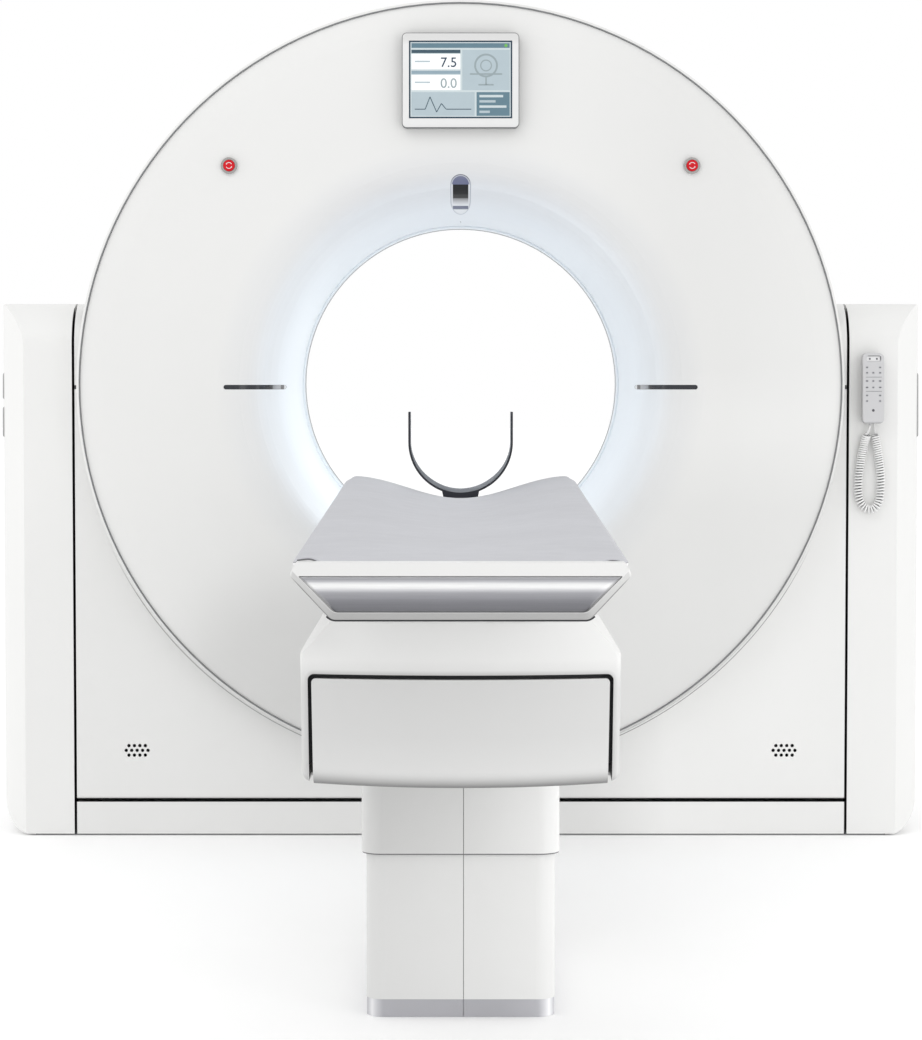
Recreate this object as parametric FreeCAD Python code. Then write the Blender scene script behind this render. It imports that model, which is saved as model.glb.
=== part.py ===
import FreeCAD, Part
import math
import os

# Computed-tomography scanner: a tilting ring gantry between two fixed side columns, and a lifting,
# travelling patient couch in front of it. Millimetres. X to the right seen from the couch's foot
# end, Y from the couch towards the back of the gantry, Z up. Everything is drawn with Y = 0 at the
# gantry's middle and moved by Y_SHIFT at the end, so that the origin is under the middle of the
# whole outline, on the floor.

os.makedirs("parts", exist_ok=True)
V = FreeCAD.Vector

# ---- driving dimensions -------------------------------------------------------------------------
ISO = 965.0  # height of the bore's axis and of the tilt axis
BORE_R = 350.0
BORE_Y0, BORE_Y1 = -50.0, 43.0  # the bore's straight throat
FUNNEL_R = 444.0
DRUM_R, DRUM_T = 815.5, 4.0
BASE_Y = 350.0  # half depth of the gantry's base
FACE_Y = 430.0  # half depth over the gantry's faces
COL_X0, COL_CREASE, COL_X1 = 824.95, 929.2, 984.9  # the first at z = 0, the others at z = -50
SEAM_LEAN = 0.0064  # how the seams beside the tilting covers lean
COL_LEAN = 0.0062  # how the columns widen going up
COL_TOP = 1138.5
MID_X = 820.45  # half width of the tilting lower cover, at z = 0
KICK_TOP, MID_Z0 = 72.0, 78.0
TOP_R = 92.0  # rounding of the base's upper front and rear edges
SKIN = 4.0
TRUNNION_R = 60.0

COUCH_Y0, COUCH_Y1 = -2200.0, -1580.0  # pedestal, front and back
SEAM_X = 4.5
LOW_W, UP_W = 289.0, 303.0
LOW_TOP, UP_Z0 = 385.0, 250.0
HOUSE_W, HOUSE_Z0, HOUSE_Z1 = 222.0, 415.0, 645.0
HOUSE_Y1 = -800.0
HOUSE_NOSE = -2657.0
HOUSE_R = 900.0  # plan radius of the bulging foot end
TABLE_Y0, TABLE_Y1 = -2798.0, -728.0
FASCIA_Y = -2835.0
HEAD_R, HEAD_T = 105.35, 4.0

Y_MIN, Y_MAX = FASCIA_Y, FACE_Y
Y_SHIFT = -(Y_MIN + Y_MAX) / 2
print("Y_SHIFT", Y_SHIFT)


# ---- helpers ------------------------------------------------------------------------------------
def box(x0, x1, y0, y1, z0, z1):
    return Part.makeBox(x1 - x0, y1 - y0, z1 - z0, V(x0, y0, z0))


def cyl(r, base, axis, length):
    return Part.makeCylinder(r, length, V(*base), V(*axis))


def ring(r0, r1, y0, y1):
    """A ring about the bore's axis."""
    a = cyl(r1, (0, y0, ISO), (0, 1, 0), y1 - y0)
    return a.cut(cyl(r0, (0, y0 - 1, ISO), (0, 1, 0), y1 - y0 + 2))


def path(points, arcs=()):
    """Closed wire through points. arcs holds (index, middle point): that side is an arc."""
    arcs = dict(arcs)
    edges = []
    n = len(points)
    for i in range(n):
        a, b = points[i], points[(i + 1) % n]
        if i in arcs:
            edges.append(Part.Arc(a, arcs[i], b).toShape())
        else:
            edges.append(Part.LineSegment(a, b).toShape())
    return Part.Wire(edges)


def rounded(points, radii):
    """Closed wire of a polygon in any plane, each corner rounded by its radius (0 is sharp)."""
    n = len(points)
    edges, ends = [], []
    for i in range(n):
        p, a, b = points[i], points[i - 1], points[(i + 1) % n]
        u = (a - p).normalize()
        w = (b - p).normalize()
        r = radii[i]
        if r <= 0:
            ends.append((p, p, None))
            continue
        half = math.acos(max(-1, min(1, u.dot(w)))) / 2
        d = r / math.tan(half)
        s, e = p + u * d, p + w * d
        mid_dir = (u + w).normalize()
        centre = p + mid_dir * (r / math.sin(half))
        ends.append((s, e, centre - mid_dir * r))
    for i in range(n):
        s, e, m = ends[i]
        if m is not None:
            edges.append(Part.Arc(s, m, e).toShape())
        nxt = ends[(i + 1) % n][0]
        if e.distanceToPoint(nxt) > 1e-6:
            edges.append(Part.LineSegment(e, nxt).toShape())
    return Part.Wire(edges)


def solid(wire, vector):
    return Part.Face(wire).extrude(V(*vector))


def xz(points, radii, y0, y1):
    pts = [V(x, y0, z) for x, z in points]
    return solid(rounded(pts, radii), (0, y1 - y0, 0))


def xy(points, radii, z0, z1):
    pts = [V(x, y, z0) for x, y in points]
    return solid(rounded(pts, radii), (0, 0, z1 - z0))


def yz(points, radii, x0, x1):
    pts = [V(x0, y, z) for y, z in points]
    return solid(rounded(pts, radii), (x1 - x0, 0, 0))


def rect(x0, x1, y0, y1):
    return [(x0, y0), (x1, y0), (x1, y1), (x0, y1)]


def mirror_x(shape):
    return shape.mirror(V(0, 0, 0), V(1, 0, 0))


def slot(cx, cz, half_w, half_h, y0, y1):
    """An upright or lying slot with round ends, seen from the front."""
    if half_h > half_w:
        r = half_w
        s = box(cx - r, cx + r, y0, y1, cz - half_h + r, cz + half_h - r)
        ends = [(cx, cz - half_h + r), (cx, cz + half_h - r)]
    else:
        r = half_h
        s = box(cx - half_w + r, cx + half_w - r, y0, y1, cz - r, cz + r)
        ends = [(cx - half_w + r, cz), (cx + half_w - r, cz)]
    for x, z in ends:
        s = s.fuse(cyl(r, (x, y0, z), (0, 1, 0), y1 - y0))
    return s.removeSplitter()


def arc_to(p, t, q):
    """Middle point and centre of the arc that leaves p along t and ends at q. The centre is None for a straight run."""
    ch, n = q - p, V(-t.y, t.x, 0)
    s = ch.dot(n)
    if abs(s) < 1e-6 * ch.Length:
        return (p + q) * 0.5, None
    c = p + n * (ch.dot(ch) / (2 * s))
    return c + ((p - c) + (q - c)).normalize() * (p - c).Length, c


def revolve(stations, thickness):
    """A shell of revolution about the bore's axis. stations are (r, y, heading in degrees) along its
    outer face; each pair is joined by two tangent arcs, and the inner face is their exact offset."""
    pts = [V(r, y, 0) for r, y, _ in stations]
    tans = [V(math.cos(math.radians(h)), math.sin(math.radians(h)), 0) for _, _, h in stations]
    outer, inner = [], []
    for i in range(len(pts) - 1):
        p0, p1, t0, t1 = pts[i], pts[i + 1], tans[i], tans[i + 1]
        v, t = p1 - p0, t0 + t1
        den = 2 * (1 - t0.dot(t1))
        d = (-v.dot(t) + math.sqrt(v.dot(t) ** 2 + den * v.dot(v))) / den
        m = (p0 + t0 * d + p1 - t1 * d) * 0.5
        mid0, c0 = arc_to(p0, t0, m)
        mid1, c1 = arc_to(p1, t1 * -1, m)
        for p, mid, q, c in ((p0, mid0, m, c0), (m, mid1, p1, c1)):
            left = V(-(q - p).y, (q - p).x, 0).normalize()

            def off(x):
                n = left if c is None else (x - c).normalize()
                return x + (n if n.dot(left) > 0 else n * -1) * thickness

            outer.append((p, mid, q, c))
            inner.append((off(q), off(mid), off(p), c))
    at_ = lambda x: V(x.x, x.y, ISO)
    side = lambda a, m, b, c: (Part.LineSegment(at_(a), at_(b)) if c is None else Part.Arc(at_(a), at_(m), at_(b))).toShape()
    edges = [side(*e) for e in outer]
    edges.append(Part.LineSegment(at_(outer[-1][2]), at_(inner[-1][0])).toShape())
    edges += [side(*e) for e in inner[::-1]]
    edges.append(Part.LineSegment(at_(inner[0][2]), at_(outer[0][0])).toShape())
    face = Part.Face(Part.Wire(edges))
    face.rotate(V(0, 0, ISO), V(0, 1, 0), 90)
    return face.revolve(V(0, 0, ISO), V(0, 1, 0), 360)


nodes = {}


def put(name, shape):
    if shape.ShapeType != "Solid":
        solids = shape.Solids
        shape = solids[0] if len(solids) == 1 else Part.makeCompound(solids)
    nodes[name] = shape


# ---- gantry: fixed base -------------------------------------------------------------------------
frame = box(-910, 910, -340, 340, 0, 8)
for s in (-1, 1):
    frame = frame.fuse(box(-822, 822, min(s * 304, s * 343.5), max(s * 304, s * 343.5), 8, 50))
    frame = frame.fuse(box(min(s * 845, s * 905), max(s * 845, s * 905), -300, 300, 8, 60))
ANCHOR_X, ANCHOR_Y, ANCHOR_R = 875.0, 250.0, 9.0
for sx in (-1, 1):
    for sy in (-1, 1):
        frame = frame.cut(cyl(ANCHOR_R, (sx * ANCHOR_X, sy * ANCHOR_Y, -5), (0, 0, 1), 80))
put("gantry_base_frame", frame.removeSplitter())

stand = yz([(-215, 80), (-215, 60), (215, 60), (215, 80), (170, 80), (115, ISO), (70, ISO + 95), (-70, ISO + 95), (-115, ISO), (-170, 80)], [0, 0, 0, 0, 0, 40, 40, 40, 40, 0], 850, 900)
stand = stand.fuse(cyl(100, (846, 0, ISO), (1, 0, 0), 54))
stand = stand.cut(cyl(TRUNNION_R + 0.05, (840, 0, ISO), (1, 0, 0), 70))
stand = stand.cut(yz([(-110, 160), (110, 160), (78, 780), (-78, 780)], [30, 30, 30, 30], 840, 910)).removeSplitter()
put("tilt_stand_right", stand)
put("tilt_stand_left", mirror_x(stand))

motor = cyl(108, (900, 0, ISO), (1, 0, 0), 42).cut(cyl(TRUNNION_R + 0.6, (899, 0, ISO), (1, 0, 0), 22))
motor = motor.fuse(cyl(33, (933, 0, ISO - 340), (0, 0, 1), 260)).removeSplitter()
put("tilt_gearmotor", motor)


def column(t):
    """The right column's outer form, shrunk by t."""
    x0, z1 = COL_X0 + t, COL_TOP - t
    xt = COL_X1 - t + COL_LEAN * (z1 - 8 + 50)  # the outer wall under the top's rounding
    xb = COL_X1 - t + COL_LEAN * 130  # and over the foot's
    z0 = 3.0 if t == 0 else -20.0
    x1, b = COL_X1 - t, BASE_Y - t
    a = path(
        [V(x0 + SEAM_LEAN * z0, -500, z0), V(x0 + SEAM_LEAN * z1, -500, z1), V(xt - 8, -500, z1), V(xt, -500, z1 - 8), V(xt + 6, -500, z1 - 40), V(xb + 6, -500, 100), V(xb, -500, 80), V(926 - t, -500, 3.0)]
        + ([V(926 - t, -500, z0)] if t else []),
        [(2, V(xt - 2.4, -500, z1 - 2.4)), (6, V(962 - t, -500, 22))],
    )
    front = solid(a, (0, 1000, 0))
    plan = solid(
        path(
            [V(x0 - 12, -b, -50), V(COL_CREASE, -b, -50), V(x1, -b + 90, -50), V(x1, b - 90, -50), V(COL_CREASE, b, -50), V(x0 - 12, b, -50)],
            [(1, V(x1 - 21.5, -b + 41, -50)), (3, V(x1 - 21.5, b - 41, -50))],
        ),
        (COL_LEAN * 1350, 0, 1350),
    )
    side = yz([(-b, -60), (b, -60), (b, z1), (-b, z1)], [0, 0, TOP_R - t, TOP_R - t], 800, 1000)
    return front.common(plan).common(side)


cover = column(0).cut(column(SKIN))
cover = cover.cut(cyl(74, (COL_X0 - 5, 0, ISO), (1, 0, 0), 20))
cover = cover.cut(box(COL_X0 - 5, COL_X0 + 6, -342, 342, 0, 9))


def grab(z0, z1):
    """A flat grab plate on the outer wall."""
    return xz([(988, z0), (992.7, z0), (992.7, z1), (988, z1)], [0, 3, 3, 0], -262, -185).common(yz(rect(-262, -185, z0 - 2, z1 + 2), [10] * 4, 960, 1000))


put("column_cover_right", cover.fuse(grab(850.6, 988.7)).removeSplitter())
put("column_cover_left", mirror_x(cover.fuse([grab(850.6, 915.3), grab(932.6, 988.7)]).removeSplitter()))

kick = xz([(-821.4, 3), (821.4, 3), (821.4, KICK_TOP), (-821.4, KICK_TOP)], [1, 1, 2, 2], -BASE_Y, -BASE_Y + 6)
put("kick_panel_front", kick)
put("kick_panel_rear", kick.mirror(V(0, 0, 0), V(0, 1, 0)))

# ---- handset on the right column ----------------------------------------------------------------
HS_X, HS_W, HS_Z0, HS_Z1 = 878.0, 45.0, 881.0, 1031.0
holder = xz([(HS_X - 16, 905), (HS_X + 16, 905), (HS_X + 16, 1018), (HS_X - 16, 1018)], [6] * 4, -362, -350)
holder = holder.fuse(cyl(3.4, (882, -356, 896), (0, 0, 1), 12)).removeSplitter()
put("handset_holder", holder)
hs = xz([(HS_X - HS_W / 2, HS_Z0), (HS_X + HS_W / 2, HS_Z0), (HS_X + HS_W / 2, HS_Z1), (HS_X - HS_W / 2, HS_Z1)], [9, 9, 11, 11], -390, -362)
hs = hs.common(yz([(-390, HS_Z0 - 1), (-362, HS_Z0 - 1), (-362, HS_Z1 + 1), (-390, HS_Z1 + 1)], [6, 3, 6, 8], 800, 950))
hs = hs.cut(xz([(HS_X - 14.6, 1012.6), (HS_X + 16.4, 1012.6), (HS_X + 16.4, 1025.4), (HS_X - 14.6, 1025.4)], [5] * 4, -400, -386.5))
hs = hs.fuse(cyl(3.0, (872.4, -376, 877), (0, 0, 1), 8)).removeSplitter()
put("handset", hs)

# The curly cord: a thin lead leaves the handset's foot, the coiled part hangs in a loop, and a thin
# lead goes up behind the handset into the holder's foot.
CORD = [
    (872.4, -376.0, 876.75),
    (871.9, -375.4, 871.0),
    (869.2, -372.4, 864.5),
    (865.0, -367.6, 853.5),
    (861.0, -364.6, 836.0),
    (855.6, -363.2, 810.0),
    (850.8, -363.0, 779.0),
    (848.4, -363.0, 747.0),
    (850.3, -363.0, 719.5),
    (857.6, -363.0, 704.5),
    (868.0, -363.0, 697.2),
    (879.0, -363.0, 697.2),
    (888.8, -363.0, 704.5),
    (895.4, -363.0, 719.5),
    (897.4, -363.0, 747.0),
    (896.4, -363.0, 779.0),
    (892.6, -363.0, 810.0),
    (888.4, -362.8, 836.0),
    (885.9, -361.8, 853.0),
    (885.0, -360.4, 863.6),
    (882.9, -357.6, 883.0),
    (882.0, -356.0, 895.75),
]
LEAD_D, COIL_D = 4.0, 19.0


def cord_edges(points):
    pts = [V(*p) for p in points]
    runs = [(pts[i + 1] - pts[i]).Length for i in range(len(pts) - 1)]
    edges, start = [], pts[0]
    groups = []
    for i in range(1, len(pts) - 1):
        u = (pts[i - 1] - pts[i]).normalize()
        w = (pts[i + 1] - pts[i]).normalize()
        half_turn = (math.pi - math.acos(max(-1, min(1, u.dot(w))))) / 2
        cut = 0.45 * min(runs[i - 1], runs[i])
        r = cut / math.tan(half_turn)
        print("cord point", i, "turn %.0f deg, radius %.1f mm, run %.1f" % (math.degrees(2 * half_turn), r, runs[i]))
        s, e = pts[i] + u * cut, pts[i] + w * cut
        bis = (u + w).normalize()
        half = math.pi / 2 - half_turn
        centre = pts[i] + bis * (r / math.sin(half))
        groups.append((i - 1, start, s))
        groups.append((None, s, centre - bis * r, e))
        start = e
    groups.append((len(pts) - 2, start, pts[-1]))
    return pts, groups


def tube(groups, start, end, pts, diameter):
    """The tube along the route from the middle of run start (or its beginning) to the middle of run end."""
    edges, on = [], start is None
    for g in groups:
        if g[0] is None:
            if on:
                edges.append(Part.Arc(g[1], g[2], g[3]).toShape())
            continue
        a, b = g[1], g[2]
        mid = (pts[g[0]] + pts[g[0] + 1]) * 0.5
        if start is not None and g[0] == start:
            a, on = mid, True
        if end is not None and g[0] == end:
            edges.append(Part.LineSegment(a, mid).toShape())
            break
        if on:
            edges.append(Part.LineSegment(a, b).toShape())
    wire = Part.Wire(edges)
    first = edges[0]
    p0 = first.valueAt(first.FirstParameter)
    d0 = first.tangentAt(first.FirstParameter)
    circle = Part.Wire([Part.makeCircle(diameter / 2, p0, d0)])
    shape = wire.makePipeShell([circle], True, True)
    want = math.pi * diameter ** 2 / 4 * wire.Length
    print("tube length %.1f mm, volume %.1f, section x length %.1f" % (wire.Length, shape.Volume, want))
    return shape


pts, groups = cord_edges(CORD)
put("handset_lead_top", tube(groups, None, 2, pts, LEAD_D))
put("handset_cord_coil", tube(groups, 2, 18, pts, COIL_D))
put("handset_lead_return", tube(groups, 18, None, pts, LEAD_D))

# ---- gantry: the tilting part -------------------------------------------------------------------
tf = ring(600, 790, 64, 140)
tf.rotate(V(0, 0, ISO), V(0, 1, 0), 50)
arms = []
for s in (-1, 1):
    arms.append(box(min(s * 702, s * 781), max(s * 702, s * 781), -64, 136, ISO - 72, ISO + 72))
    arms.append(cyl(TRUNNION_R, (s * 705, 0, ISO), (s, 0, 0), (918 if s > 0 else 906) - 705))
tf = tf.fuse(arms)
put("tilt_frame", tf.removeSplitter())

put("main_bearing", ring(560.3, 600, 70, 130))
put("drive_stator", ring(680.6, 699, 22, 64))

rotor = ring(400, 680, 20, 50).fuse(ring(520, 560, 50, 140)).removeSplitter()
put("rotor_frame", rotor)
tube_body = cyl(82, (0, -140, ISO + 560), (0, 1, 0), 160)
tube_body = tube_body.fuse(box(-62, 62, -70, 20, ISO + 420, ISO + 500))
tube_body = tube_body.fuse(cyl(40, (0, -168, ISO + 560), (0, 1, 0), 30)).removeSplitter()
put("xray_tube", tube_body)
put("hv_generator", xz([(-650, ISO - 125), (-480, ISO - 125), (-480, ISO + 125), (-650, ISO + 125)], [12] * 4, -135, 20))
put("tube_cooler", xz([(480, ISO - 125), (650, ISO - 125), (650, ISO + 125), (480, ISO + 125)], [12] * 4, -135, 20))
focus = ISO + 560
a0, a1 = math.radians(-25), math.radians(25)


def at(r, a, y=-75):
    return V(r * math.sin(a), y, focus - r * math.cos(a))


det = path([at(1020, a0), at(1020, a1), at(1080, a1), at(1080, a0)], [(0, at(1020, 0)), (2, at(1080, 0))])
put("detector_array", solid(det, (0, 95, 0)))
put("slip_ring", ring(470, 560, 140, 162))

FRONT = [(805.4, -417.5, 191.4), (700.0, -426.5, 182.0), (560.0, -430.1, 179.8), (468.0, -426.0, 166.1), (432.0, -408.0, 138.4), (405.0, -365.0, 112.1), (383.0, -290.0, 101.8), (367.0, -190.0, 97.6), (353.25, -49.0, 92.6)]
REAR = [(r, -y if i < len(FRONT) - 1 else 42.0, -h) for i, (r, y, h) in enumerate(FRONT)]
skin = revolve(FRONT, -SKIN)
probe = skin.BoundBox
print("front skin y", probe.YMin, probe.YMax)
rear = revolve(REAR, SKIN)
print("rear skin y", rear.BoundBox.YMin, rear.BoundBox.YMax)

WIN_Z0, WIN_Z1, WIN_HW = ISO + 371.0, ISO + 443.0, 20.2
wz, wh = (WIN_Z0 + WIN_Z1) / 2, (WIN_Z1 - WIN_Z0) / 2
SIDE_X0, SIDE_X1, SIDE_Z, SIDE_HH = 377.0, 501.0, 958.3, 4.9
sxm, sxh = (SIDE_X0 + SIDE_X1) / 2, (SIDE_X1 - SIDE_X0) / 2
put("laser_window_top", skin.common(slot(0, wz, WIN_HW - 0.4, wh - 0.4, -500, -40)))
put("laser_window_left", skin.common(slot(-sxm, SIDE_Z, sxh - 0.4, SIDE_HH - 0.4, -500, -40)))
put("laser_window_right", skin.common(slot(sxm, SIDE_Z, sxh - 0.4, SIDE_HH - 0.4, -500, -40)))

ESTOP_X, ESTOP_Z = 489.0, 1426.3
DISP_HW, DISP_Z0, DISP_Z1, DISP_Y = 123.5, 1504.0, 1704.5, -456.0
front = skin.cut(slot(0, wz, WIN_HW, wh, -500, -40))
front = front.cut(slot(-sxm, SIDE_Z, sxh, SIDE_HH, -500, -40))
front = front.cut(slot(sxm, SIDE_Z, sxh, SIDE_HH, -500, -40))
for s in (-1, 1):
    front = front.cut(cyl(16.3, (s * ESTOP_X, -500, ESTOP_Z), (0, 1, 0), 200))
front = front.cut(xz([(-104, DISP_Z0 + 18), (104, DISP_Z0 + 18), (104, DISP_Z1 - 18), (-104, DISP_Z1 - 18)], [8] * 4, -500, -350))
put("front_cover", front)
put("rear_cover", rear)
put("front_trim_ring", ring(805.8, 808.4, -421.0, -404.0))
put("bore_liner", ring(BORE_R, BORE_R + 3.0, BORE_Y0, BORE_Y1))

RI, RO = DRUM_R - DRUM_T, DRUM_R
prof = [V(RI, 398, ISO), V(RI, -400, ISO), V(808.9, -404, ISO), V(808.9, -414, ISO), V(RO, -400, ISO), V(RO, 398, ISO), V(808.9, 414, ISO), V(808.9, 404, ISO)]
w = path(prof, [(3, V(813.4, -408.9, ISO)), (5, V(813.4, 408.9, ISO))])
drum = Part.Face(w).revolve(V(0, 0, ISO), V(0, 1, 0), 360)
drum = drum.cut(box(-900, 900, -(BASE_Y - 6), BASE_Y - 6, 0, COL_TOP - 6))
put("drum_shroud", drum.removeSplitter())


def lower(t):
    b = BASE_Y - t
    z0, z1 = MID_Z0 + t, COL_TOP - t
    return yz([(-b, z0), (0 if t == 0 else 1, z0), (0 if t == 0 else 1, z1), (-b, z1)], [6 if t == 0 else 2, 0, 0, TOP_R - t], -840, 840).common(
        xz([(-MID_X + t, 0), (MID_X - t, 0), (MID_X - t + SEAM_LEAN * 1300, 1300), (-MID_X + t - SEAM_LEAN * 1300, 1300)], [0] * 4, -500, 500)
    )


low = lower(0).cut(lower(SKIN))
low = low.cut(cyl(DRUM_R + 0.3, (0, -500, ISO), (0, 1, 0), 1000))
low = low.cut(cyl(TRUNNION_R + 6, (-900, 0, ISO), (1, 0, 0), 1800))
low_rear = low.mirror(V(0, 0, 0), V(0, 1, 0))
for s in (-1, 1):  # a small notch on each side, level with the tilt axis
    low = low.cut(box(min(s * 822.4, s * 828), max(s * 822.4, s * 828), -351, -338, 954, 962.5))
low_rear.translate(V(0, 0.8, 0))
GR_X, GR_Z, GR_P, GR_R, GR_DZ = 692.0, 181.2, 11.65, 3.7, 10.15
for s in (-1, 1):
    for row, count in ((-1, 4), (0, 5), (1, 4)):
        for k in range(count):
            x = s * GR_X + (k - (count - 1) / 2) * GR_P
            low = low.cut(cyl(GR_R, (x, -360, GR_Z + row * GR_DZ), (0, 1, 0), 20))
put("lower_cover_front", low)
# the rear cover is cut back so that both covers keep inside the same depth
low_rear = low_rear.common(box(-900, 900, 0.4, BASE_Y, 0, 1300))
put("lower_cover_rear", low_rear)

dz0, dz1 = DISP_Z0, DISP_Z1
disp = xz([(-DISP_HW, dz0), (DISP_HW, dz0), (DISP_HW, dz1), (-DISP_HW, dz1)], [10] * 4, DISP_Y, -431.5)
disp = disp.makeFillet(2.0, [e for e in disp.Edges if e.BoundBox.YMax < DISP_Y + 0.01])
disp = disp.fuse(xz([(-103, dz0 + 19), (103, dz0 + 19), (103, dz1 - 19), (-103, dz1 - 19)], [8] * 4, -440, -395))
SCR_HW, SCR_Z0, SCR_Z1 = 108.4, 1524.3, 1687.3
disp = disp.cut(box(-SCR_HW - 0.4, SCR_HW + 0.4, DISP_Y - 1, DISP_Y + 3, SCR_Z0 - 0.4, SCR_Z1 + 0.4)).removeSplitter()
put("display_housing", disp)
put("display_screen", box(-SCR_HW, SCR_HW, DISP_Y + 0.8, DISP_Y + 2.9, SCR_Z0, SCR_Z1))

for s, name in ((-1, "left"), (1, "right")):
    cx = s * ESTOP_X
    collar = cyl(17.4, (cx, -434, ESTOP_Z), (0, 1, 0), 5).fuse(cyl(16, (cx, -430, ESTOP_Z), (0, 1, 0), 30))
    collar = collar.cut(cyl(12.7, (cx, -436, ESTOP_Z), (0, 1, 0), 12)).cut(cyl(6.05, (cx, -436, ESTOP_Z), (0, 1, 0), 50))
    put("estop_collar_" + name, collar.removeSplitter())
    knob = cyl(12.2, (cx, -437, ESTOP_Z), (0, 1, 0), 8)
    knob = knob.makeFillet(2.0, [e for e in knob.Edges if abs(e.BoundBox.YMax + 437) < 1e-4 and e.BoundBox.YLength < 1e-4])
    knob = knob.fuse(cyl(6, (cx, -430, ESTOP_Z), (0, 1, 0), 24)).removeSplitter()
    put("estop_button_" + name, knob)

# ---- couch: fixed pedestal ----------------------------------------------------------------------
cy = (COUCH_Y0 + COUCH_Y1) / 2
plate = xy(rect(-132, 132, COUCH_Y0 + 20, COUCH_Y1 - 20), [20] * 4, 0, 20)
CA_X, CA_Y = 112.0, 250.0
for sx in (-1, 1):
    for sy in (-1, 1):
        plate = plate.cut(cyl(9, (sx * CA_X, cy + sy * CA_Y, -5), (0, 0, 1), 40))
put("couch_base_plate", plate)


def sleeve(width, y0, y1, t, z0, z1, r):
    hw = width / 2
    a = xy(rect(-hw, hw, y0, y1), [r] * 4, z0, z1)
    return a.cut(xy(rect(-hw + t, hw - t, y0 + t, y1 - t), [r - t] * 4, z0 - 1, z1 + 1))


skirt = sleeve(LOW_W - 2, COUCH_Y0 + 1, COUCH_Y1 - 1, 5, 0, 27, 29)
put("base_skirt", skirt.cut(box(SEAM_X - 0.45, SEAM_X + 0.45, COUCH_Y0, COUCH_Y0 + 3, -1, 28)))
s = sleeve(LOW_W, COUCH_Y0, COUCH_Y1, 3, 27, LOW_TOP, 30)
put("lower_sleeve_left", s.common(box(-500, SEAM_X - 0.4, -3000, 0, 0, 900)))
put("lower_sleeve_right", s.common(box(SEAM_X + 0.4, 500, -3000, 0, 0, 900)))
gear = box(-90, 90, cy - 240, cy + 115, 20, 34).fuse(cyl(46, (0, cy - 185, 34), (0, 0, 1), 150)).removeSplitter()
gear = gear.fuse(box(-85, 85, cy - 110, cy + 110, 34, 380).cut(box(-75, 75, cy - 100, cy + 100, 33, 381))).removeSplitter()
put("lift_column_outer", gear)
duct = xz([(-110, 0), (110, 0), (96, 14), (-96, 14)], [0, 0, 3, 3], COUCH_Y1 - 1, -BASE_Y)
put("floor_cable_duct", duct)

# ---- couch: the lifting part --------------------------------------------------------------------
s = sleeve(UP_W, COUCH_Y0 - 7, COUCH_Y1 + 7, 3, UP_Z0, HOUSE_Z0, 33)
put("upper_sleeve_left", s.common(box(-500, SEAM_X - 0.4, -3000, 0, 0, 900)))
put("upper_sleeve_right", s.common(box(SEAM_X + 0.4, 500, -3000, 0, 0, 900)))

HC = HOUSE_NOSE + HOUSE_R  # centre of the plan radius


def nose(radius, half, y1, z0, z1):
    """Plan outline with the bulging foot end."""
    d = math.sqrt(radius ** 2 - half ** 2)
    pts_ = [V(-half, y1, z0), V(-half, HC - d, z0), V(half, HC - d, z0), V(half, y1, z0)]
    return solid(path(pts_, [(1, V(0, HC - radius, z0))]), (0, 0, z1 - z0))


def house(t):
    w0, w1, w2 = HOUSE_W - t, 191.0 - t * 0.45, 219.0 - t
    z0, z1 = HOUSE_Z0 + t, HOUSE_Z1 - t
    sec = xz([(-w2, z0), (w2, z0), (w0, 594.0 - t * 0.3), (w1, z1), (-w1, z1), (-w0, 594.0 - t * 0.3)], [15 - t, 15 - t, 14, 12, 12, 14], -2720, HOUSE_Y1 - t)
    return sec.common(nose(HOUSE_R - t, w0 + 1, HOUSE_Y1 - t, z0 - 1, z1 + 1))


def shoulder(s_, grow):
    """Cuts the flat facet that widens up each shoulder of the housing's foot end."""
    a, b, c = V(s_ * 222, -2628.5, 590), V(s_ * 172, -2640.8, 647), V(s_ * 191, -2592, 647)
    n = (b - a).cross(c - a).normalize()
    if n.y > 0:
        n = n * -1
    o = a - n * grow
    u = (b - a).normalize()
    w = n.cross(u).normalize()
    f = Part.Face(Part.makePolygon([o + u * i * 300 + w * j * 300 for i, j in ((-1, -1), (1, -1), (1, 1), (-1, 1), (-1, -1))]))
    return f.extrude(n * 200)


outer = house(0)
try:
    picks = []
    for e in outer.Edges:
        b = e.BoundBox
        if b.YMax < -2590 and b.XLength > 30:
            picks.append(e)
    outer = outer.makeFillet(9.0, picks)
except Exception as exc:
    print("housing fillet left out", exc)
    outer = house(0)
inside = house(SKIN)
for s_ in (-1, 1):
    outer, inside = outer.cut(shoulder(s_, 0)), inside.cut(shoulder(s_, SKIN))
housing = outer.cut(inside)
GAP_TOP, GAP = 564.8, 5.2
cut = xz([(-208.6, 380), (208.6, 380), (211.5, GAP_TOP), (-211.5, GAP_TOP)], [0, 0, 9, 9], -2750, -2560)
housing = housing.cut(cut)

housing = housing.cut(xy(rect(-146.5, 146.5, COUCH_Y0 - 3, COUCH_Y1 + 3), [30] * 4, HOUSE_Z0 - 2, HOUSE_Z0 + 6))
put("couch_housing", housing)

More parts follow.
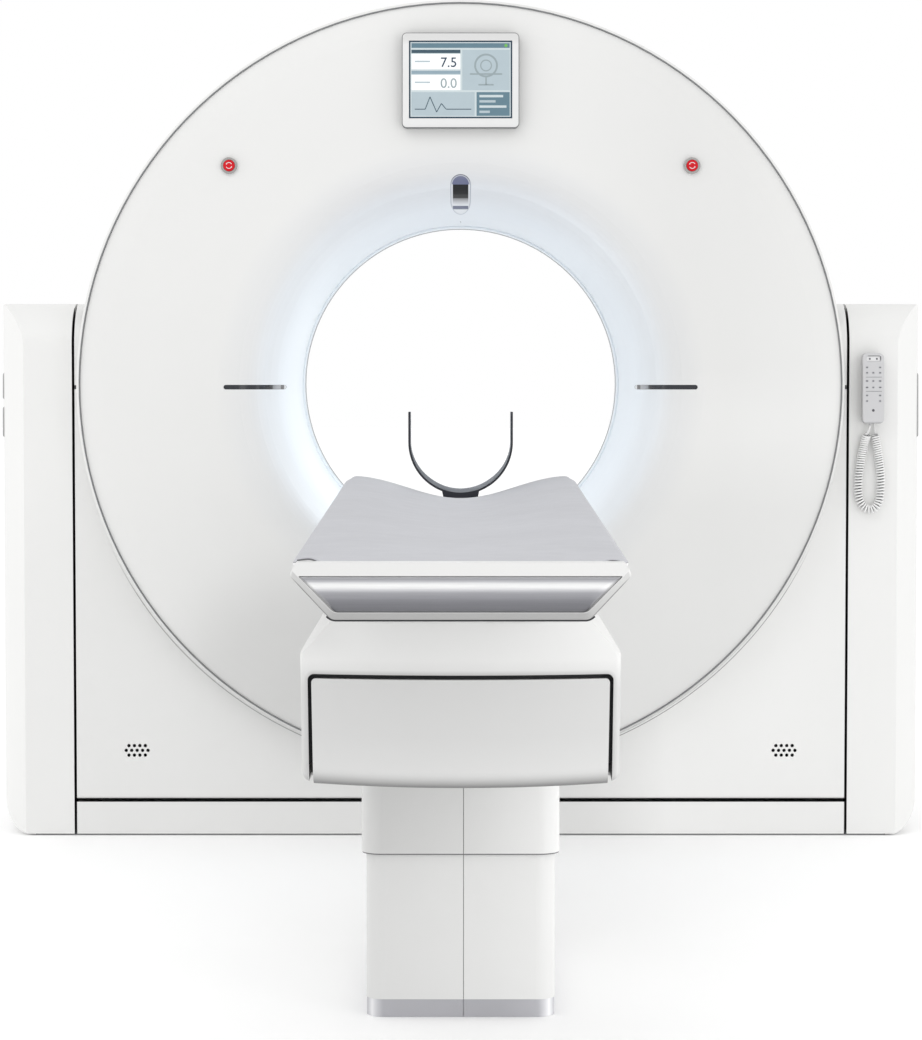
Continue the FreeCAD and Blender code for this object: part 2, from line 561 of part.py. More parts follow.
# The panel bows up a little towards its lower corners, and has a thick bar along its foot, whose
# lower edge rolls under.
pw, pt, pz = 208.6 - GAP, 211.5 - GAP, GAP_TOP - 6.2
PAN_Z0 = 407.6  # the middle of the panel's bowed lower edge
face = path(
    [V(-pw, -2750, PAN_Z0 + 4), V(pw, -2750, PAN_Z0 + 4), V(pt - 0.12, -2750, pz - 6), V(pt - 6, -2750, pz), V(-pt + 6, -2750, pz), V(-pt + 0.12, -2750, pz - 6)],
    [(0, V(0, -2750, PAN_Z0)), (2, V(pt - 1.8, -2750, pz - 1.76)), (4, V(-pt + 1.8, -2750, pz - 1.76))],
)
panel = solid(face, (0, 190, 0)).common(nose(HOUSE_R, HOUSE_W + 1, -2580, PAN_Z0 - 10, 640))
panel = panel.cut(nose(HOUSE_R - 30, HOUSE_W + 5, -2500, PAN_Z0 - 12, 642)).cut(nose(HOUSE_R - 12, HOUSE_W + 5, -2500, PAN_Z0 + 36, 642))
try:
    low_edges = [e for e in panel.Edges if e.BoundBox.ZMax < PAN_Z0 + 5 and e.BoundBox.XLength > 300]
    low_edges.sort(key=lambda e: e.BoundBox.YMin)
    rolled = panel.makeFillet(22.0, [low_edges[0]])
    if not rolled.isValid():
        raise ValueError("not valid")
    panel = rolled
except Exception as exc:
    print("panel fillet left out", exc)
put("couch_front_panel", panel)

cf = box(-150, -60, -2560, -830, 604, 640.5).fuse(box(60, 150, -2560, -830, 604, 640.5))
cf = cf.fuse(box(-150, 150, -2560, -2530, 604, 640.5)).fuse(box(-150, 150, -860, -830, 604, 640.5)).fuse(box(-150, 150, cy - 100, cy + 100, 604, 616)).removeSplitter()
put("couch_frame", cf)
put("lift_column_inner", box(-74, 74, cy - 99, cy + 99, 250, 604).cut(box(-66, 66, cy - 91, cy + 91, 262, 605)))
tm = cyl(34, (0, -2520, 566), (0, 1, 0), 180).fuse(box(-40, 40, -2560, -2520, 530, 604)).removeSplitter()
put("travel_gearmotor", tm)
car = box(98, 142, -1400, -840, HOUSE_Z1, 657).cut(box(111.4, 128.6, -1410, -830, 652, 660))
put("guide_carriage_right", car)
put("guide_carriage_left", mirror_x(car))

# ---- couch: the travelling tabletop -------------------------------------------------------------
sub = box(112, 128, TABLE_Y0 + 20, TABLE_Y1 - 30, 652.5, 664)
sub = sub.fuse(box(-128, -112, TABLE_Y0 + 20, TABLE_Y1 - 30, 652.5, 664))
for y in (-2770, -2300, -1800, -790):
    sub = sub.fuse(box(-128, 128, y, y + 30, 658.5, 664))
put("table_subframe", sub.removeSplitter())

CW, MW, N = 214.0, 217.0, 16
MAT_T = 14.0


def trough(x, half, centre, edge):
    return centre + (edge - centre) * (1 - math.cos(math.pi * min(1.0, abs(x) / half))) / 2


def section(y, tops, bottoms):
    return Part.makePolygon([V(x, y, z) for x, z in tops] + [V(x, y, z) for x, z in bottoms] + [V(tops[0][0], y, tops[0][1])])


xs = [-CW + 2 * CW * i / N for i in range(N + 1)]
near = section(TABLE_Y0, [(x, 715.8) for x in xs], [(CW, 704), (140, 664), (-140, 664), (-CW, 704)])
far = section(TABLE_Y1, [(x, trough(x, MW, 723.2, 767.6)) for x in xs], [(CW, 756), (140, 664), (-140, 664), (-CW, 756)])
put("cradle", Part.makeLoft([near, far], True, True))
xs = [-MW + 2 * MW * i / N for i in range(N + 1)]
near = section(TABLE_Y0 + 1, [(x, 730.5 - (3 if abs(x) > MW - 1 else 0)) for x in xs], [(x, 716.2) for x in xs[::-1]])
far = section(TABLE_Y1 - 2, [(x, trough(x, MW, 737.5, 782.0) - (3 if abs(x) > MW - 1 else 0)) for x in xs], [(x, trough(x, MW, 723.7, 768.2)) for x in xs[::-1]])
put("mattress", Part.makeLoft([near, far], True, True))

FAS = [(-217.0, 730.3), (-226.0, 713.3), (-171.0, 654.8), (171.0, 654.8), (226.0, 713.3), (217.0, 730.3)]
WIN = [(-214.0, 712.7), (-166.5, 664.7), (166.5, 664.7), (214.0, 712.7)]
FAS_C = 6.5  # chamfer of the front edge along the bottom and the lower diagonals
FAS2 = [(-217.0, 730.3), (-222.24, 720.4), (-166.8, 664.0), (166.8, 664.0), (222.24, 720.4), (217.0, 730.3)]


def fascia_wire(points, radii, y):
    return rounded([V(x, y, z) for x, z in points], radii)


fas = Part.makeLoft([fascia_wire(FAS2, [3, 5, 12, 12, 5, 3], FASCIA_Y), fascia_wire(FAS, [3, 8, 16, 16, 8, 3], FASCIA_Y + FAS_C)], True, True)
fas = fas.fuse(xz(FAS, [3, 8, 16, 16, 8, 3], FASCIA_Y + FAS_C, TABLE_Y0)).removeSplitter()
fas = fas.cut(xz(WIN, [1, 14, 14, 1], FASCIA_Y - 1, FASCIA_Y + 24))
put("foot_fascia", fas)
w2 = [(-212.6, 712.1), (-166.2, 665.3), (166.2, 665.3), (212.6, 712.1)]
put("foot_panel", xz(w2, [1, 13.4, 13.4, 1], FASCIA_Y + 2, FASCIA_Y + 24))

hc = 742.4 + HEAD_R
HY0, HY1 = TABLE_Y1, -485.0
band = cyl(HEAD_R, (0, HY0, hc), (0, 1, 0), HY1 - HY0).fuse(box(-HEAD_R, HEAD_R, HY0, HY1, hc, 908.6))
band = band.cut(cyl(HEAD_R - HEAD_T, (0, HY0 - 1, hc), (0, 1, 0), HY1 - HY0 + 2)).cut(box(-HEAD_R + HEAD_T, HEAD_R - HEAD_T, HY0 - 1, HY1 + 1, hc, 950))
prof = yz([(HY0, 730), (HY1, 730), (HY1, 764), (HY0 + 96, 838), (HY0 + 84, 908.6), (HY0, 908.6)], [0, 0, 12, 40, 14, 0], -150, 150)
band = band.common(prof)
put("head_holder", band)
mount = xz([(-27, 700), (27, 700), (38, 752), (-38, 752)], [0, 0, 0, 0], HY0, HY0 + 205)
mount = mount.cut(cyl(HEAD_R + 0.02, (0, HY0 - 5, hc), (0, 1, 0), 400))
mount = mount.common(yz([(HY0 - 2, 690), (HY0 + 60, 690), (HY0 + 210, 738), (HY0 + 210, 760), (HY0 - 2, 760)], [0] * 5, -60, 60))
put("head_holder_mount", mount)

# ---- write --------------------------------------------------------------------------------------
total = 0.0
for name, shape in nodes.items():
    shape = shape.copy()
    shape.translate(V(0, Y_SHIFT, 0))
    ok = shape.isValid() and all(s.isClosed() for s in shape.Shells)
    b = shape.BoundBox
    total += shape.Volume
    if not ok or len(shape.Solids) != 1:
        print("CHECK", name, "valid", ok, "solids", len(shape.Solids))
    shape.exportStep("parts/" + name + ".step")
print(len(nodes), "nodes, volume %.4f m3" % (total / 1e9))
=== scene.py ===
import bpy
import bmesh
import math
from mathutils import Matrix, Vector, kdtree


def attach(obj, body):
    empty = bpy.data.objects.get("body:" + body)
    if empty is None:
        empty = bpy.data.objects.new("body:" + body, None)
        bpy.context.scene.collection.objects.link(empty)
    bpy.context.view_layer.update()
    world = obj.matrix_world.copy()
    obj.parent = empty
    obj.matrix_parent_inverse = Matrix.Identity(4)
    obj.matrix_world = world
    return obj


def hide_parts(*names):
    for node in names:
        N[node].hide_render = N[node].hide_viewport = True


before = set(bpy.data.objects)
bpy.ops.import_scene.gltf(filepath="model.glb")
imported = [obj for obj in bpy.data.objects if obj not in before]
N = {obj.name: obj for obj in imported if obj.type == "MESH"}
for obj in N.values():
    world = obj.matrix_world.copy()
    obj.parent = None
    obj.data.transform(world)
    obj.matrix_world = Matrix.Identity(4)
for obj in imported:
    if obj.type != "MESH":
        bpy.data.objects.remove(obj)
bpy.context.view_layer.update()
Y0 = 1.2025  # where the gantry's middle stands in the row frame
ISO = 0.965  # height of the bore's axis


def at(x, y, z):
    """A point from millimetres about the gantry's middle to metres in the row frame."""
    return Vector((x / 1000, y / 1000 + Y0, z / 1000))


# ---- camera -------------------------------------------------------------------------------------
scene = bpy.context.scene
cam_data = bpy.data.cameras.new("camera")
cam = bpy.data.objects.new("camera", cam_data)
scene.collection.objects.link(cam)
cam.location = (0, -5.5825, 0.965)
cam.rotation_euler = (math.radians(90), 0, 0)
cam_data.lens = 104.12
cam_data.sensor_width = 36
cam_data.shift_x = 0.0004
cam_data.shift_y = -136 / 1040
cam_data.clip_end = 200
scene.camera = cam


# ---- helpers ------------------------------------------------------------------------------------
def link(name, data, body=None):
    o = bpy.data.objects.new(name, data)
    scene.collection.objects.link(o)
    if body:
        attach(o, body)
    return o


def mesh_object(name, bm, mats, body=None, smooth=True):
    me = bpy.data.meshes.new(name)
    bm.normal_update()
    bm.to_mesh(me)
    bm.free()
    for m in mats:
        me.materials.append(m)
    if smooth:
        me.polygons.foreach_set("use_smooth", [True] * len(me.polygons))
    return link(name, me, body)


def nt(name):
    m = bpy.data.materials.new(name)
    m.use_nodes = True
    t = m.node_tree
    return m, t, t.nodes["Principled BSDF"]


def node(t, kind, **props):
    n = t.nodes.new(kind)
    for k, v in props.items():
        setattr(n, k, v)
    return n


def coords(t):
    return node(t, "ShaderNodeTexCoord").outputs["Object"]


def noise(t, vec, scale, detail=2.0, rough=0.5, distortion=0.0):
    n = node(t, "ShaderNodeTexNoise")
    n.inputs["Scale"].default_value = scale
    n.inputs["Detail"].default_value = detail
    n.inputs["Roughness"].default_value = rough
    n.inputs["Distortion"].default_value = distortion
    t.links.new(vec, n.inputs["Vector"])
    return n.outputs["Fac"]


def span(t, value, a, b, c, d):
    n = node(t, "ShaderNodeMapRange")
    for i, v in zip((1, 2, 3, 4), (a, b, c, d)):
        n.inputs[i].default_value = v
    t.links.new(value, n.inputs[0])
    return n.outputs[0]


def ramp(t, value, stops, mode="LINEAR"):
    n = node(t, "ShaderNodeValToRGB")
    r = n.color_ramp
    r.interpolation = mode
    while len(r.elements) < len(stops):
        r.elements.new(0.5)
    for e, (p, c) in zip(r.elements, stops):
        e.position = p
        e.color = (*c, 1) if len(c) == 3 else c
    t.links.new(value, n.inputs[0])
    return n.outputs[0]


def bump(t, bsdf, height, strength, distance, chain=None):
    n = node(t, "ShaderNodeBump")
    n.inputs["Strength"].default_value = strength
    n.inputs["Distance"].default_value = distance
    t.links.new(height, n.inputs["Height"])
    if chain is not None:
        t.links.new(chain, n.inputs["Normal"])
    t.links.new(n.outputs[0], bsdf.inputs["Normal"])
    return n.outputs[0]


def scaled(t, vec, xyz):
    n = node(t, "ShaderNodeVectorMath", operation="MULTIPLY")
    n.inputs[1].default_value = xyz
    t.links.new(vec, n.inputs[0])
    return n.outputs[0]


def mixed(t, fac, a, b, mode="MIX"):
    n = node(t, "ShaderNodeMix", data_type="RGBA", blend_type=mode)
    for key, v in ((0, fac), (6, a), (7, b)):
        if isinstance(v, (tuple, float, int)):
            n.inputs[key].default_value = (*v, 1) if isinstance(v, tuple) and len(v) == 3 else v
        else:
            t.links.new(v, n.inputs[key])
    return n.outputs[2]


def radius_from_bore(t, vec):
    a = node(t, "ShaderNodeVectorMath", operation="SUBTRACT")
    a.inputs[1].default_value = (0, 0, ISO)
    t.links.new(vec, a.inputs[0])
    b = scaled(t, a.outputs[0], (1, 0, 1))
    c = node(t, "ShaderNodeVectorMath", operation="LENGTH")
    t.links.new(b, c.inputs[0])
    return c.outputs["Value"]


def axis(t, vec, i):
    n = node(t, "ShaderNodeSeparateXYZ")
    t.links.new(vec, n.inputs[0])
    return n.outputs[i]


def dull(c, k):
    return tuple(x * k for x in c)


def maths(t, op, a, b=None):
    n = node(t, "ShaderNodeMath", operation=op)
    for i, v in enumerate((a, b)):
        if isinstance(v, (float, int)):
            n.inputs[i].default_value = v
        elif v is not None:
            t.links.new(v, n.inputs[i])
    return n.outputs[0]


def band(t, value, a, b, soft=0.0002):
    """1 between a and b, 0 outside."""
    return maths(t, "MULTIPLY", span(t, value, a - soft, a, 0, 1), span(t, value, b, b + soft, 1, 0))


def gap_shade_mask(t, v):
    """1 on the walls of the narrow gaps between columns, tilting covers and kick panels, which are painted near black
    as the shade in the gaps.
    """
    x = maths(t, "ABSOLUTE", axis(t, v, 0))
    x = maths(t, "SUBTRACT", x, maths(t, "MULTIPLY", axis(t, v, 2), 0.0064))
    y = maths(t, "ABSOLUTE", maths(t, "SUBTRACT", axis(t, v, 1), Y0))
    side = maths(t, "MULTIPLY", band(t, x, 0.81995, 0.82545), span(t, y, 0.296, 0.300, 0, 1))
    low = maths(t, "MULTIPLY", band(t, axis(t, v, 2), 0.0714, 0.0786), span(t, x, 0.8212, 0.8216, 1, 0))
    return maths(t, "MAXIMUM", side, low)


def underside_shade(t, c, k=0.8):
    """Painted shade: faces that look down are darkened, standing in for the weaker light from below."""
    n = node(t, "ShaderNodeTexCoord").outputs["Normal"]
    return mixed(t, 1.0, c, ramp(t, span(t, axis(t, n, 2), -0.95, -0.1, 0, 1), [(0.0, (k, k, k)), (1.0, (1, 1, 1))]), "MULTIPLY")


def grips(t, v):
    """1 on the shadowed recess at the front end of each grab plate."""
    x, z = axis(t, v, 0), axis(t, v, 2)
    wall = maths(t, "SUBTRACT", maths(t, "ABSOLUTE", x), maths(t, "MULTIPLY", z, 0.0062))
    edge = maths(t, "MULTIPLY", span(t, wall, 0.98235, 0.98275, 0, 1), span(t, axis(t, v, 1), Y0 - 0.200, Y0 - 0.190, 1, 0))
    right = maths(t, "MULTIPLY", band(t, z, 0.8506, 0.9887, 0.001), span(t, x, -0.1, 0.1, 0, 1))
    left = maths(t, "MULTIPLY", maths(t, "ADD", band(t, z, 0.8506, 0.9153, 0.001), band(t, z, 0.9326, 0.9887, 0.001)), span(t, x, -0.1, 0.1, 1, 0))
    return maths(t, "MULTIPLY", edge, maths(t, "ADD", right, left))


def groove_shade_line(t, v):
    """1 along the fine groove that follows the drum round the lower covers, where the groove's shade is painted as a
    dark line.
    """
    r = radius_from_bore(t, v)
    y = maths(t, "ABSOLUTE", maths(t, "SUBTRACT", axis(t, v, 1), Y0))
    low = span(t, axis(t, v, 2), 0.50, 0.62, 1, 0)
    return maths(t, "MULTIPLY", maths(t, "MULTIPLY", band(t, r, 0.8248, 0.8262, 0.0003), low), span(t, y, 0.3490, 0.3494, 0, 1))


def moulded(name, colour, rough=(0.36, 0.46), vary=0.02, grain=0.25, coat=0.0, gaps=False, under=None, extra=None, side_light_ramp=None):
    """Satin painted or moulded plastic: faint cloudy variation, fine orange-peel and patchy gloss."""
    m, t, b = nt(name)
    v = coords(t)
    big = noise(t, v, 1.7, 3)
    c = ramp(t, big, [(0.3, dull(colour, 1 - vary)), (0.7, dull(colour, 1 + vary * 0.5))])
    # painted light and shade: the tone is scaled along x by the given factors
    if side_light_ramp:
        a0, a1 = side_light_ramp[0][0], side_light_ramp[-1][0]
        c = mixed(t, 1.0, c, ramp(t, span(t, axis(t, v, 0), a0, a1, 0, 1), [((p - a0) / (a1 - a0), (k, k, k)) for p, k in side_light_ramp]), "MULTIPLY")
    # painted shade on faces that look down
    if under:
        c = underside_shade(t, c, under)
    # paints a tone over a mask; the masks used here paint the shade in a groove or a recess
    if extra:
        mask, tone = extra
        c = mixed(t, mask(t, v), c, tone)
    # painted shade: the walls of the narrow gaps are painted near black
    if gaps:
        c = mixed(t, gap_shade_mask(t, v), c, (0.010, 0.010, 0.011))
    t.links.new(c, b.inputs["Base Color"])
    t.links.new(span(t, noise(t, v, 9, 4, 0.6), 0.3, 0.7, *rough), b.inputs["Roughness"])
    peel = noise(t, v, 260, 2, 0.5)
    wave = noise(t, v, 5, 1, 0.4)
    first = bump(t, b, wave, 0.12, 0.002)
    bump(t, b, peel, grain, 0.00012, first)
    b.inputs["Specular IOR Level"].default_value = 0.42
    if coat:
        b.inputs["Coat Weight"].default_value = coat
        b.inputs["Coat Roughness"].default_value = 0.25
    return m


def metal(name, colour, rough, brush=(1, 1, 1), scale=400, metallic=1.0, grain=0.15):
    m, t, b = nt(name)
    v = coords(t)
    lines = noise(t, scaled(t, v, brush), scale, 3, 0.6)
    t.links.new(ramp(t, lines, [(0.25, dull(colour, 0.88)), (0.75, dull(colour, 1.08))]), b.inputs["Base Color"])
    t.links.new(span(t, lines, 0.25, 0.75, rough * 0.85, rough * 1.2), b.inputs["Roughness"])
    bump(t, b, lines, grain, 0.0001)
    b.inputs["Metallic"].default_value = metallic
    return m


# ---- materials ----------------------------------------------------------------------------------
WHITE = (0.775, 0.775, 0.765)
M = {}
# painted shade on the covers: gap walls near black, faces that look down darker, a dark line along a groove round the
# drum
M["cover_white"] = moulded("cover_white", WHITE, gaps=True, under=0.8, extra=(groove_shade_line, (0.34, 0.34, 0.34)))
# a lighter copy of the cover white, painted light, with painted light and shade across x: darkest left of middle,
# lightest right of middle
M["lower_white"] = moulded("lower_white", (0.88, 0.88, 0.87), gaps=True, under=0.8, extra=(groove_shade_line, (0.34, 0.34, 0.34)), side_light_ramp=[(-0.82, 0.88), (-0.6, 0.88), (-0.40, 0.855), (0.28, 0.89), (0.44, 1.0), (0.62, 0.95), (0.82, 0.91)])
# a lighter copy of the cover white, painted light, with painted shade in the recess at each grab plate's front end
M["column_white"] = moulded("column_white", (0.81, 0.81, 0.80), gaps=True, under=0.8, extra=(grips, (0.42, 0.42, 0.42)))
# painted shade: faces that look down are darker on the couch and the handset
M["couch_white"] = moulded("couch_white", (0.75, 0.75, 0.742), rough=(0.38, 0.5), under=0.75)
M["handset_grey"] = moulded("handset_grey", (0.575, 0.575, 0.585), rough=(0.42, 0.5), grain=0.6, under=0.6)
M["trim_grey"] = moulded("trim_grey", (0.20, 0.205, 0.21), rough=(0.3, 0.4), grain=0.1)
M["flat_black"] = moulded("flat_black", (0.035, 0.036, 0.04), rough=(0.55, 0.65), grain=0.5)
# painted shade for the strip under the upper sleeves
M["shadow_strip_grey"] = moulded("shadow_strip_grey", (0.16, 0.16, 0.165), rough=(0.55, 0.65), grain=0.5)
M["cord_grey"] = moulded("cord_grey", (0.78, 0.78, 0.775), rough=(0.4, 0.48), grain=0.1)
M["unit_painted"] = moulded("unit_painted", (0.30, 0.33, 0.36), rough=(0.45, 0.6), grain=0.8)
M["motor_black"] = moulded("motor_black", (0.03, 0.03, 0.033), rough=(0.45, 0.6), grain=0.8)
M["steel_frame"] = moulded("steel_frame", (0.16, 0.17, 0.18), rough=(0.45, 0.6), grain=1.0)
M["cast_frame"] = moulded("cast_frame", (0.36, 0.37, 0.38), rough=(0.5, 0.65), grain=1.0)
M["bright_steel"] = metal("bright_steel", (0.60, 0.60, 0.61), 0.28, (1, 1, 0.05))
M["collar_metal"] = metal("collar_metal", (0.40, 0.39, 0.38), 0.22, (1, 0.2, 1), 700)


def shaded(name, axis_i, stops, rough=(0.38, 0.48), under=0.75, front=False):
    """The couch's and the display's paint, with painted light and shade: its tone is lighter or darker along one axis,
    for how the light falls.
    """
    m, t, b = nt(name)
    v = coords(t)
    a0, a1 = stops[0][0], stops[-1][0]
    c = ramp(t, span(t, axis(t, v, axis_i), a0, a1, 0, 1), [((p - a0) / (a1 - a0), (k, k, k * 0.99)) for p, k in stops])
    if front:  # only around the foot end, with painted shade round the panel gap and on the left shoulder
        near = span(t, axis(t, v, 1), Y0 - 2.60, Y0 - 2.45, 1, 0)
        c = mixed(t, near, (0.73, 0.73, 0.725), c)
        x, z = maths(t, "ABSOLUTE", axis(t, v, 0)), axis(t, v, 2)
        # painted shade: a darker band round the panel gap
        qx = maths(t, "MAXIMUM", maths(t, "SUBTRACT", x, 0.2013), 0.0)
        qz = maths(t, "MAXIMUM", maths(t, "SUBTRACT", z, 0.5558), 0.0)
        d = maths(t, "SQRT", maths(t, "ADD", maths(t, "MULTIPLY", qx, qx), maths(t, "MULTIPLY", qz, qz)))
        lip = maths(t, "MULTIPLY", span(t, d, 0.0095, 0.0155, 1, 0), near)
        c = mixed(t, lip, c, dull((0.645, 0.645, 0.64), 0.80))
        # painted shade: a darker patch on the left shoulder's facet
        turned = maths(t, "MULTIPLY", span(t, axis(t, v, 0), -0.145, -0.195, 0, 1), span(t, z, 0.58, 0.61, 0, 1))
        c = mixed(t, maths(t, "MULTIPLY", turned, near), c, mixed(t, 1.0, c, (0.92, 0.92, 0.92), "MULTIPLY"))
    c = mixed(t, 1.0, c, ramp(t, noise(t, v, 1.7, 3), [(0.3, (0.98, 0.98, 0.98)), (0.7, (1, 1, 1))]), "MULTIPLY")
    t.links.new(underside_shade(t, c, under), b.inputs["Base Color"])
    t.links.new(span(t, noise(t, v, 9, 4, 0.6), 0.3, 0.7, *rough), b.inputs["Roughness"])
    first = bump(t, b, noise(t, v, 5, 1, 0.4), 0.12, 0.002)
    bump(t, b, noise(t, v, 260, 2, 0.5), 0.25, 0.00012, first)
    b.inputs["Specular IOR Level"].default_value = 0.42
    return m


def display_white():
    """The display's housing: white front with painted shade at its top and a little at its bottom, and dark grey sides
    painted as the shade round its outline.
    """
    m, t, b = nt("display_white")
    v = coords(t)
    n = node(t, "ShaderNodeTexCoord").outputs["Normal"]
    z = span(t, axis(t, v, 2), 1.504, 1.7045, 0, 1)
    c = ramp(t, z, [(0.0, (0.72, 0.72, 0.72)), (0.05, (0.765, 0.765, 0.765)), (0.87, (0.76, 0.76, 0.76)), (0.93, (0.68, 0.68, 0.675)), (1.0, (0.66, 0.66, 0.655))])
    c = mixed(t, 1.0, c, ramp(t, noise(t, v, 3, 3), [(0.3, (0.98, 0.98, 0.98)), (0.7, (1, 1, 1))]), "MULTIPLY")
    # painted shade: faces turned away from the front are dark grey
    side = span(t, axis(t, n, 1), -0.985, -0.95, 0, 1)
    c = mixed(t, side, c, (0.15, 0.155, 0.16))
    t.links.new(c, b.inputs["Base Color"])
    t.links.new(span(t, noise(t, v, 9, 4, 0.6), 0.3, 0.7, 0.3, 0.38), b.inputs["Roughness"])
    bump(t, b, noise(t, v, 260, 2, 0.5), 0.15, 0.00012)
    b.inputs["Specular IOR Level"].default_value = 0.42
    return m


M["display_white"] = display_white()
# painted light and shade: darker below the panel gap, lighter up the top slope
M["housing_white"] = shaded("housing_white", 2, [(0.412, 0.615), (0.545, 0.615), (0.585, 0.775), (0.645, 0.80)], front=True)
# painted light and shade across x: lit from the right, darkest left of middle
M["sleeve_upper_white"] = shaded("sleeve_upper_white", 0, [(-0.152, 0.68), (-0.12, 0.595), (0.0, 0.665), (0.10, 0.785), (0.152, 0.84)])
M["sleeve_lower_white"] = shaded("sleeve_lower_white", 0, [(-0.145, 0.70), (-0.11, 0.69), (0.0, 0.735), (0.145, 0.81)])


def skirt_grey():
    """The foot skirt: grey along its faces, with painted light: paler round its corners and lighter right of middle."""
    m, t, b = nt("skirt_grey")
    v = coords(t)
    n = node(t, "ShaderNodeTexCoord").outputs["Normal"]
    turn = maths(t, "MAXIMUM", maths(t, "ABSOLUTE", axis(t, n, 1)), maths(t, "ABSOLUTE", axis(t, n, 0)))
    # painted light: paler where the corners turn
    c = ramp(t, span(t, turn, 0.72, 0.995, 0, 1), [(0.0, (0.80, 0.80, 0.815)), (0.85, (0.50, 0.50, 0.525)), (1.0, (0.41, 0.41, 0.435))])
    # painted light: lighter right of middle
    c = mixed(t, span(t, axis(t, v, 0), 0.06, 0.13, 0, 1), c, mixed(t, 1.0, c, (1.16, 1.16, 1.16), "MULTIPLY"))
    c = mixed(t, 1.0, c, ramp(t, noise(t, v, 6, 3), [(0.3, (0.98, 0.98, 0.98)), (0.7, (1, 1, 1))]), "MULTIPLY")
    t.links.new(c, b.inputs["Base Color"])
    t.links.new(span(t, noise(t, v, 9, 4, 0.6), 0.3, 0.7, 0.42, 0.52), b.inputs["Roughness"])
    bump(t, b, noise(t, v, 260, 2, 0.5), 0.25, 0.00012)
    b.inputs["Specular IOR Level"].default_value = 0.42
    return m


M["skirt_grey"] = skirt_grey()


def fascia_white():
    """The foot end's white surround: painted shade darkens its lower rim, with a fine edge line down the diagonals."""
    m, t, b = nt("fascia_white")
    v = coords(t)
    x, z = maths(t, "ABSOLUTE", axis(t, v, 0)), axis(t, v, 2)
    front = span(t, axis(t, v, 1), Y0 - 2.8280, Y0 - 2.8270, 1, 0)
    # painted shade: the front face darkens down its lower rim
    rim_shade = ramp(t, span(t, z, 0.655, 0.712, 0, 1), [(0.0, (0.72, 0.72, 0.72)), (0.16, (0.75, 0.75, 0.75)), (0.40, (0.85, 0.85, 0.85)), (0.8, (0.97, 0.97, 0.97)), (1.0, (1, 1, 1))])
    c = mixed(t, front, (0.74, 0.74, 0.732), mixed(t, 1.0, (0.74, 0.74, 0.732), rim_shade, "MULTIPLY"))
    # how far inside the outer diagonal, through (226, 713.3) and (171, 654.8)
    inside = maths(t, "SUBTRACT", 0.0, maths(t, "ADD", maths(t, "MULTIPLY", maths(t, "SUBTRACT", x, 0.226), 0.7285), maths(t, "MULTIPLY", maths(t, "SUBTRACT", z, 0.7133), -0.6850)))
    line = maths(t, "MULTIPLY", span(t, inside, 0.0010, 0.0016, 1, 0), span(t, z, 0.700, 0.712, 1, 0))
    c = mixed(t, maths(t, "MULTIPLY", line, front), c, (0.30, 0.30, 0.30))
    c = mixed(t, 1.0, c, ramp(t, noise(t, v, 1.7, 3), [(0.3, (0.98, 0.98, 0.98)), (0.7, (1, 1, 1))]), "MULTIPLY")
    t.links.new(underside_shade(t, c, 0.46), b.inputs["Base Color"])
    t.links.new(span(t, noise(t, v, 9, 4, 0.6), 0.3, 0.7, 0.36, 0.46), b.inputs["Roughness"])
    first = bump(t, b, noise(t, v, 5, 1, 0.4), 0.12, 0.002)
    bump(t, b, noise(t, v, 260, 2, 0.5), 0.25, 0.00012, first)
    b.inputs["Specular IOR Level"].default_value = 0.42
    return m


M["fascia_white"] = fascia_white()


def panel_white():
    """The panel under the couch's foot: even, then darker with painted shade as its lower edge rounds under."""
    m, t, b = nt("panel_white")
    v = coords(t)
    x, z = axis(t, v, 0), axis(t, v, 2)
    lowered = maths(t, "SUBTRACT", z, maths(t, "MULTIPLY", maths(t, "MULTIPLY", x, x), 0.1))
    # painted shade: darker down the rounded lower edge
    stops = [(408, 0.20), (410.4, 0.26), (413.1, 0.385), (415.9, 0.47), (418.6, 0.525), (421.4, 0.575), (424.0, 0.605), (432.0, 0.65), (445.0, 0.64), (480.0, 0.615), (560.0, 0.61)]
    c = ramp(t, span(t, lowered, 0.408, 0.560, 0, 1), [((p_ - 408) / 152, (k, k, k * 0.992)) for p_, k in stops])
    c = mixed(t, 1.0, c, ramp(t, noise(t, v, 1.7, 3), [(0.3, (0.98, 0.98, 0.98)), (0.7, (1, 1, 1))]), "MULTIPLY")
    t.links.new(underside_shade(t, c, 0.7), b.inputs["Base Color"])
    t.links.new(span(t, noise(t, v, 9, 4, 0.6), 0.3, 0.7, 0.36, 0.46), b.inputs["Roughness"])
    first = bump(t, b, noise(t, v, 5, 1, 0.4), 0.12, 0.002)
    bump(t, b, noise(t, v, 260, 2, 0.5), 0.25, 0.00012, first)
    b.inputs["Specular IOR Level"].default_value = 0.42
    return m


M["panel_white"] = panel_white()


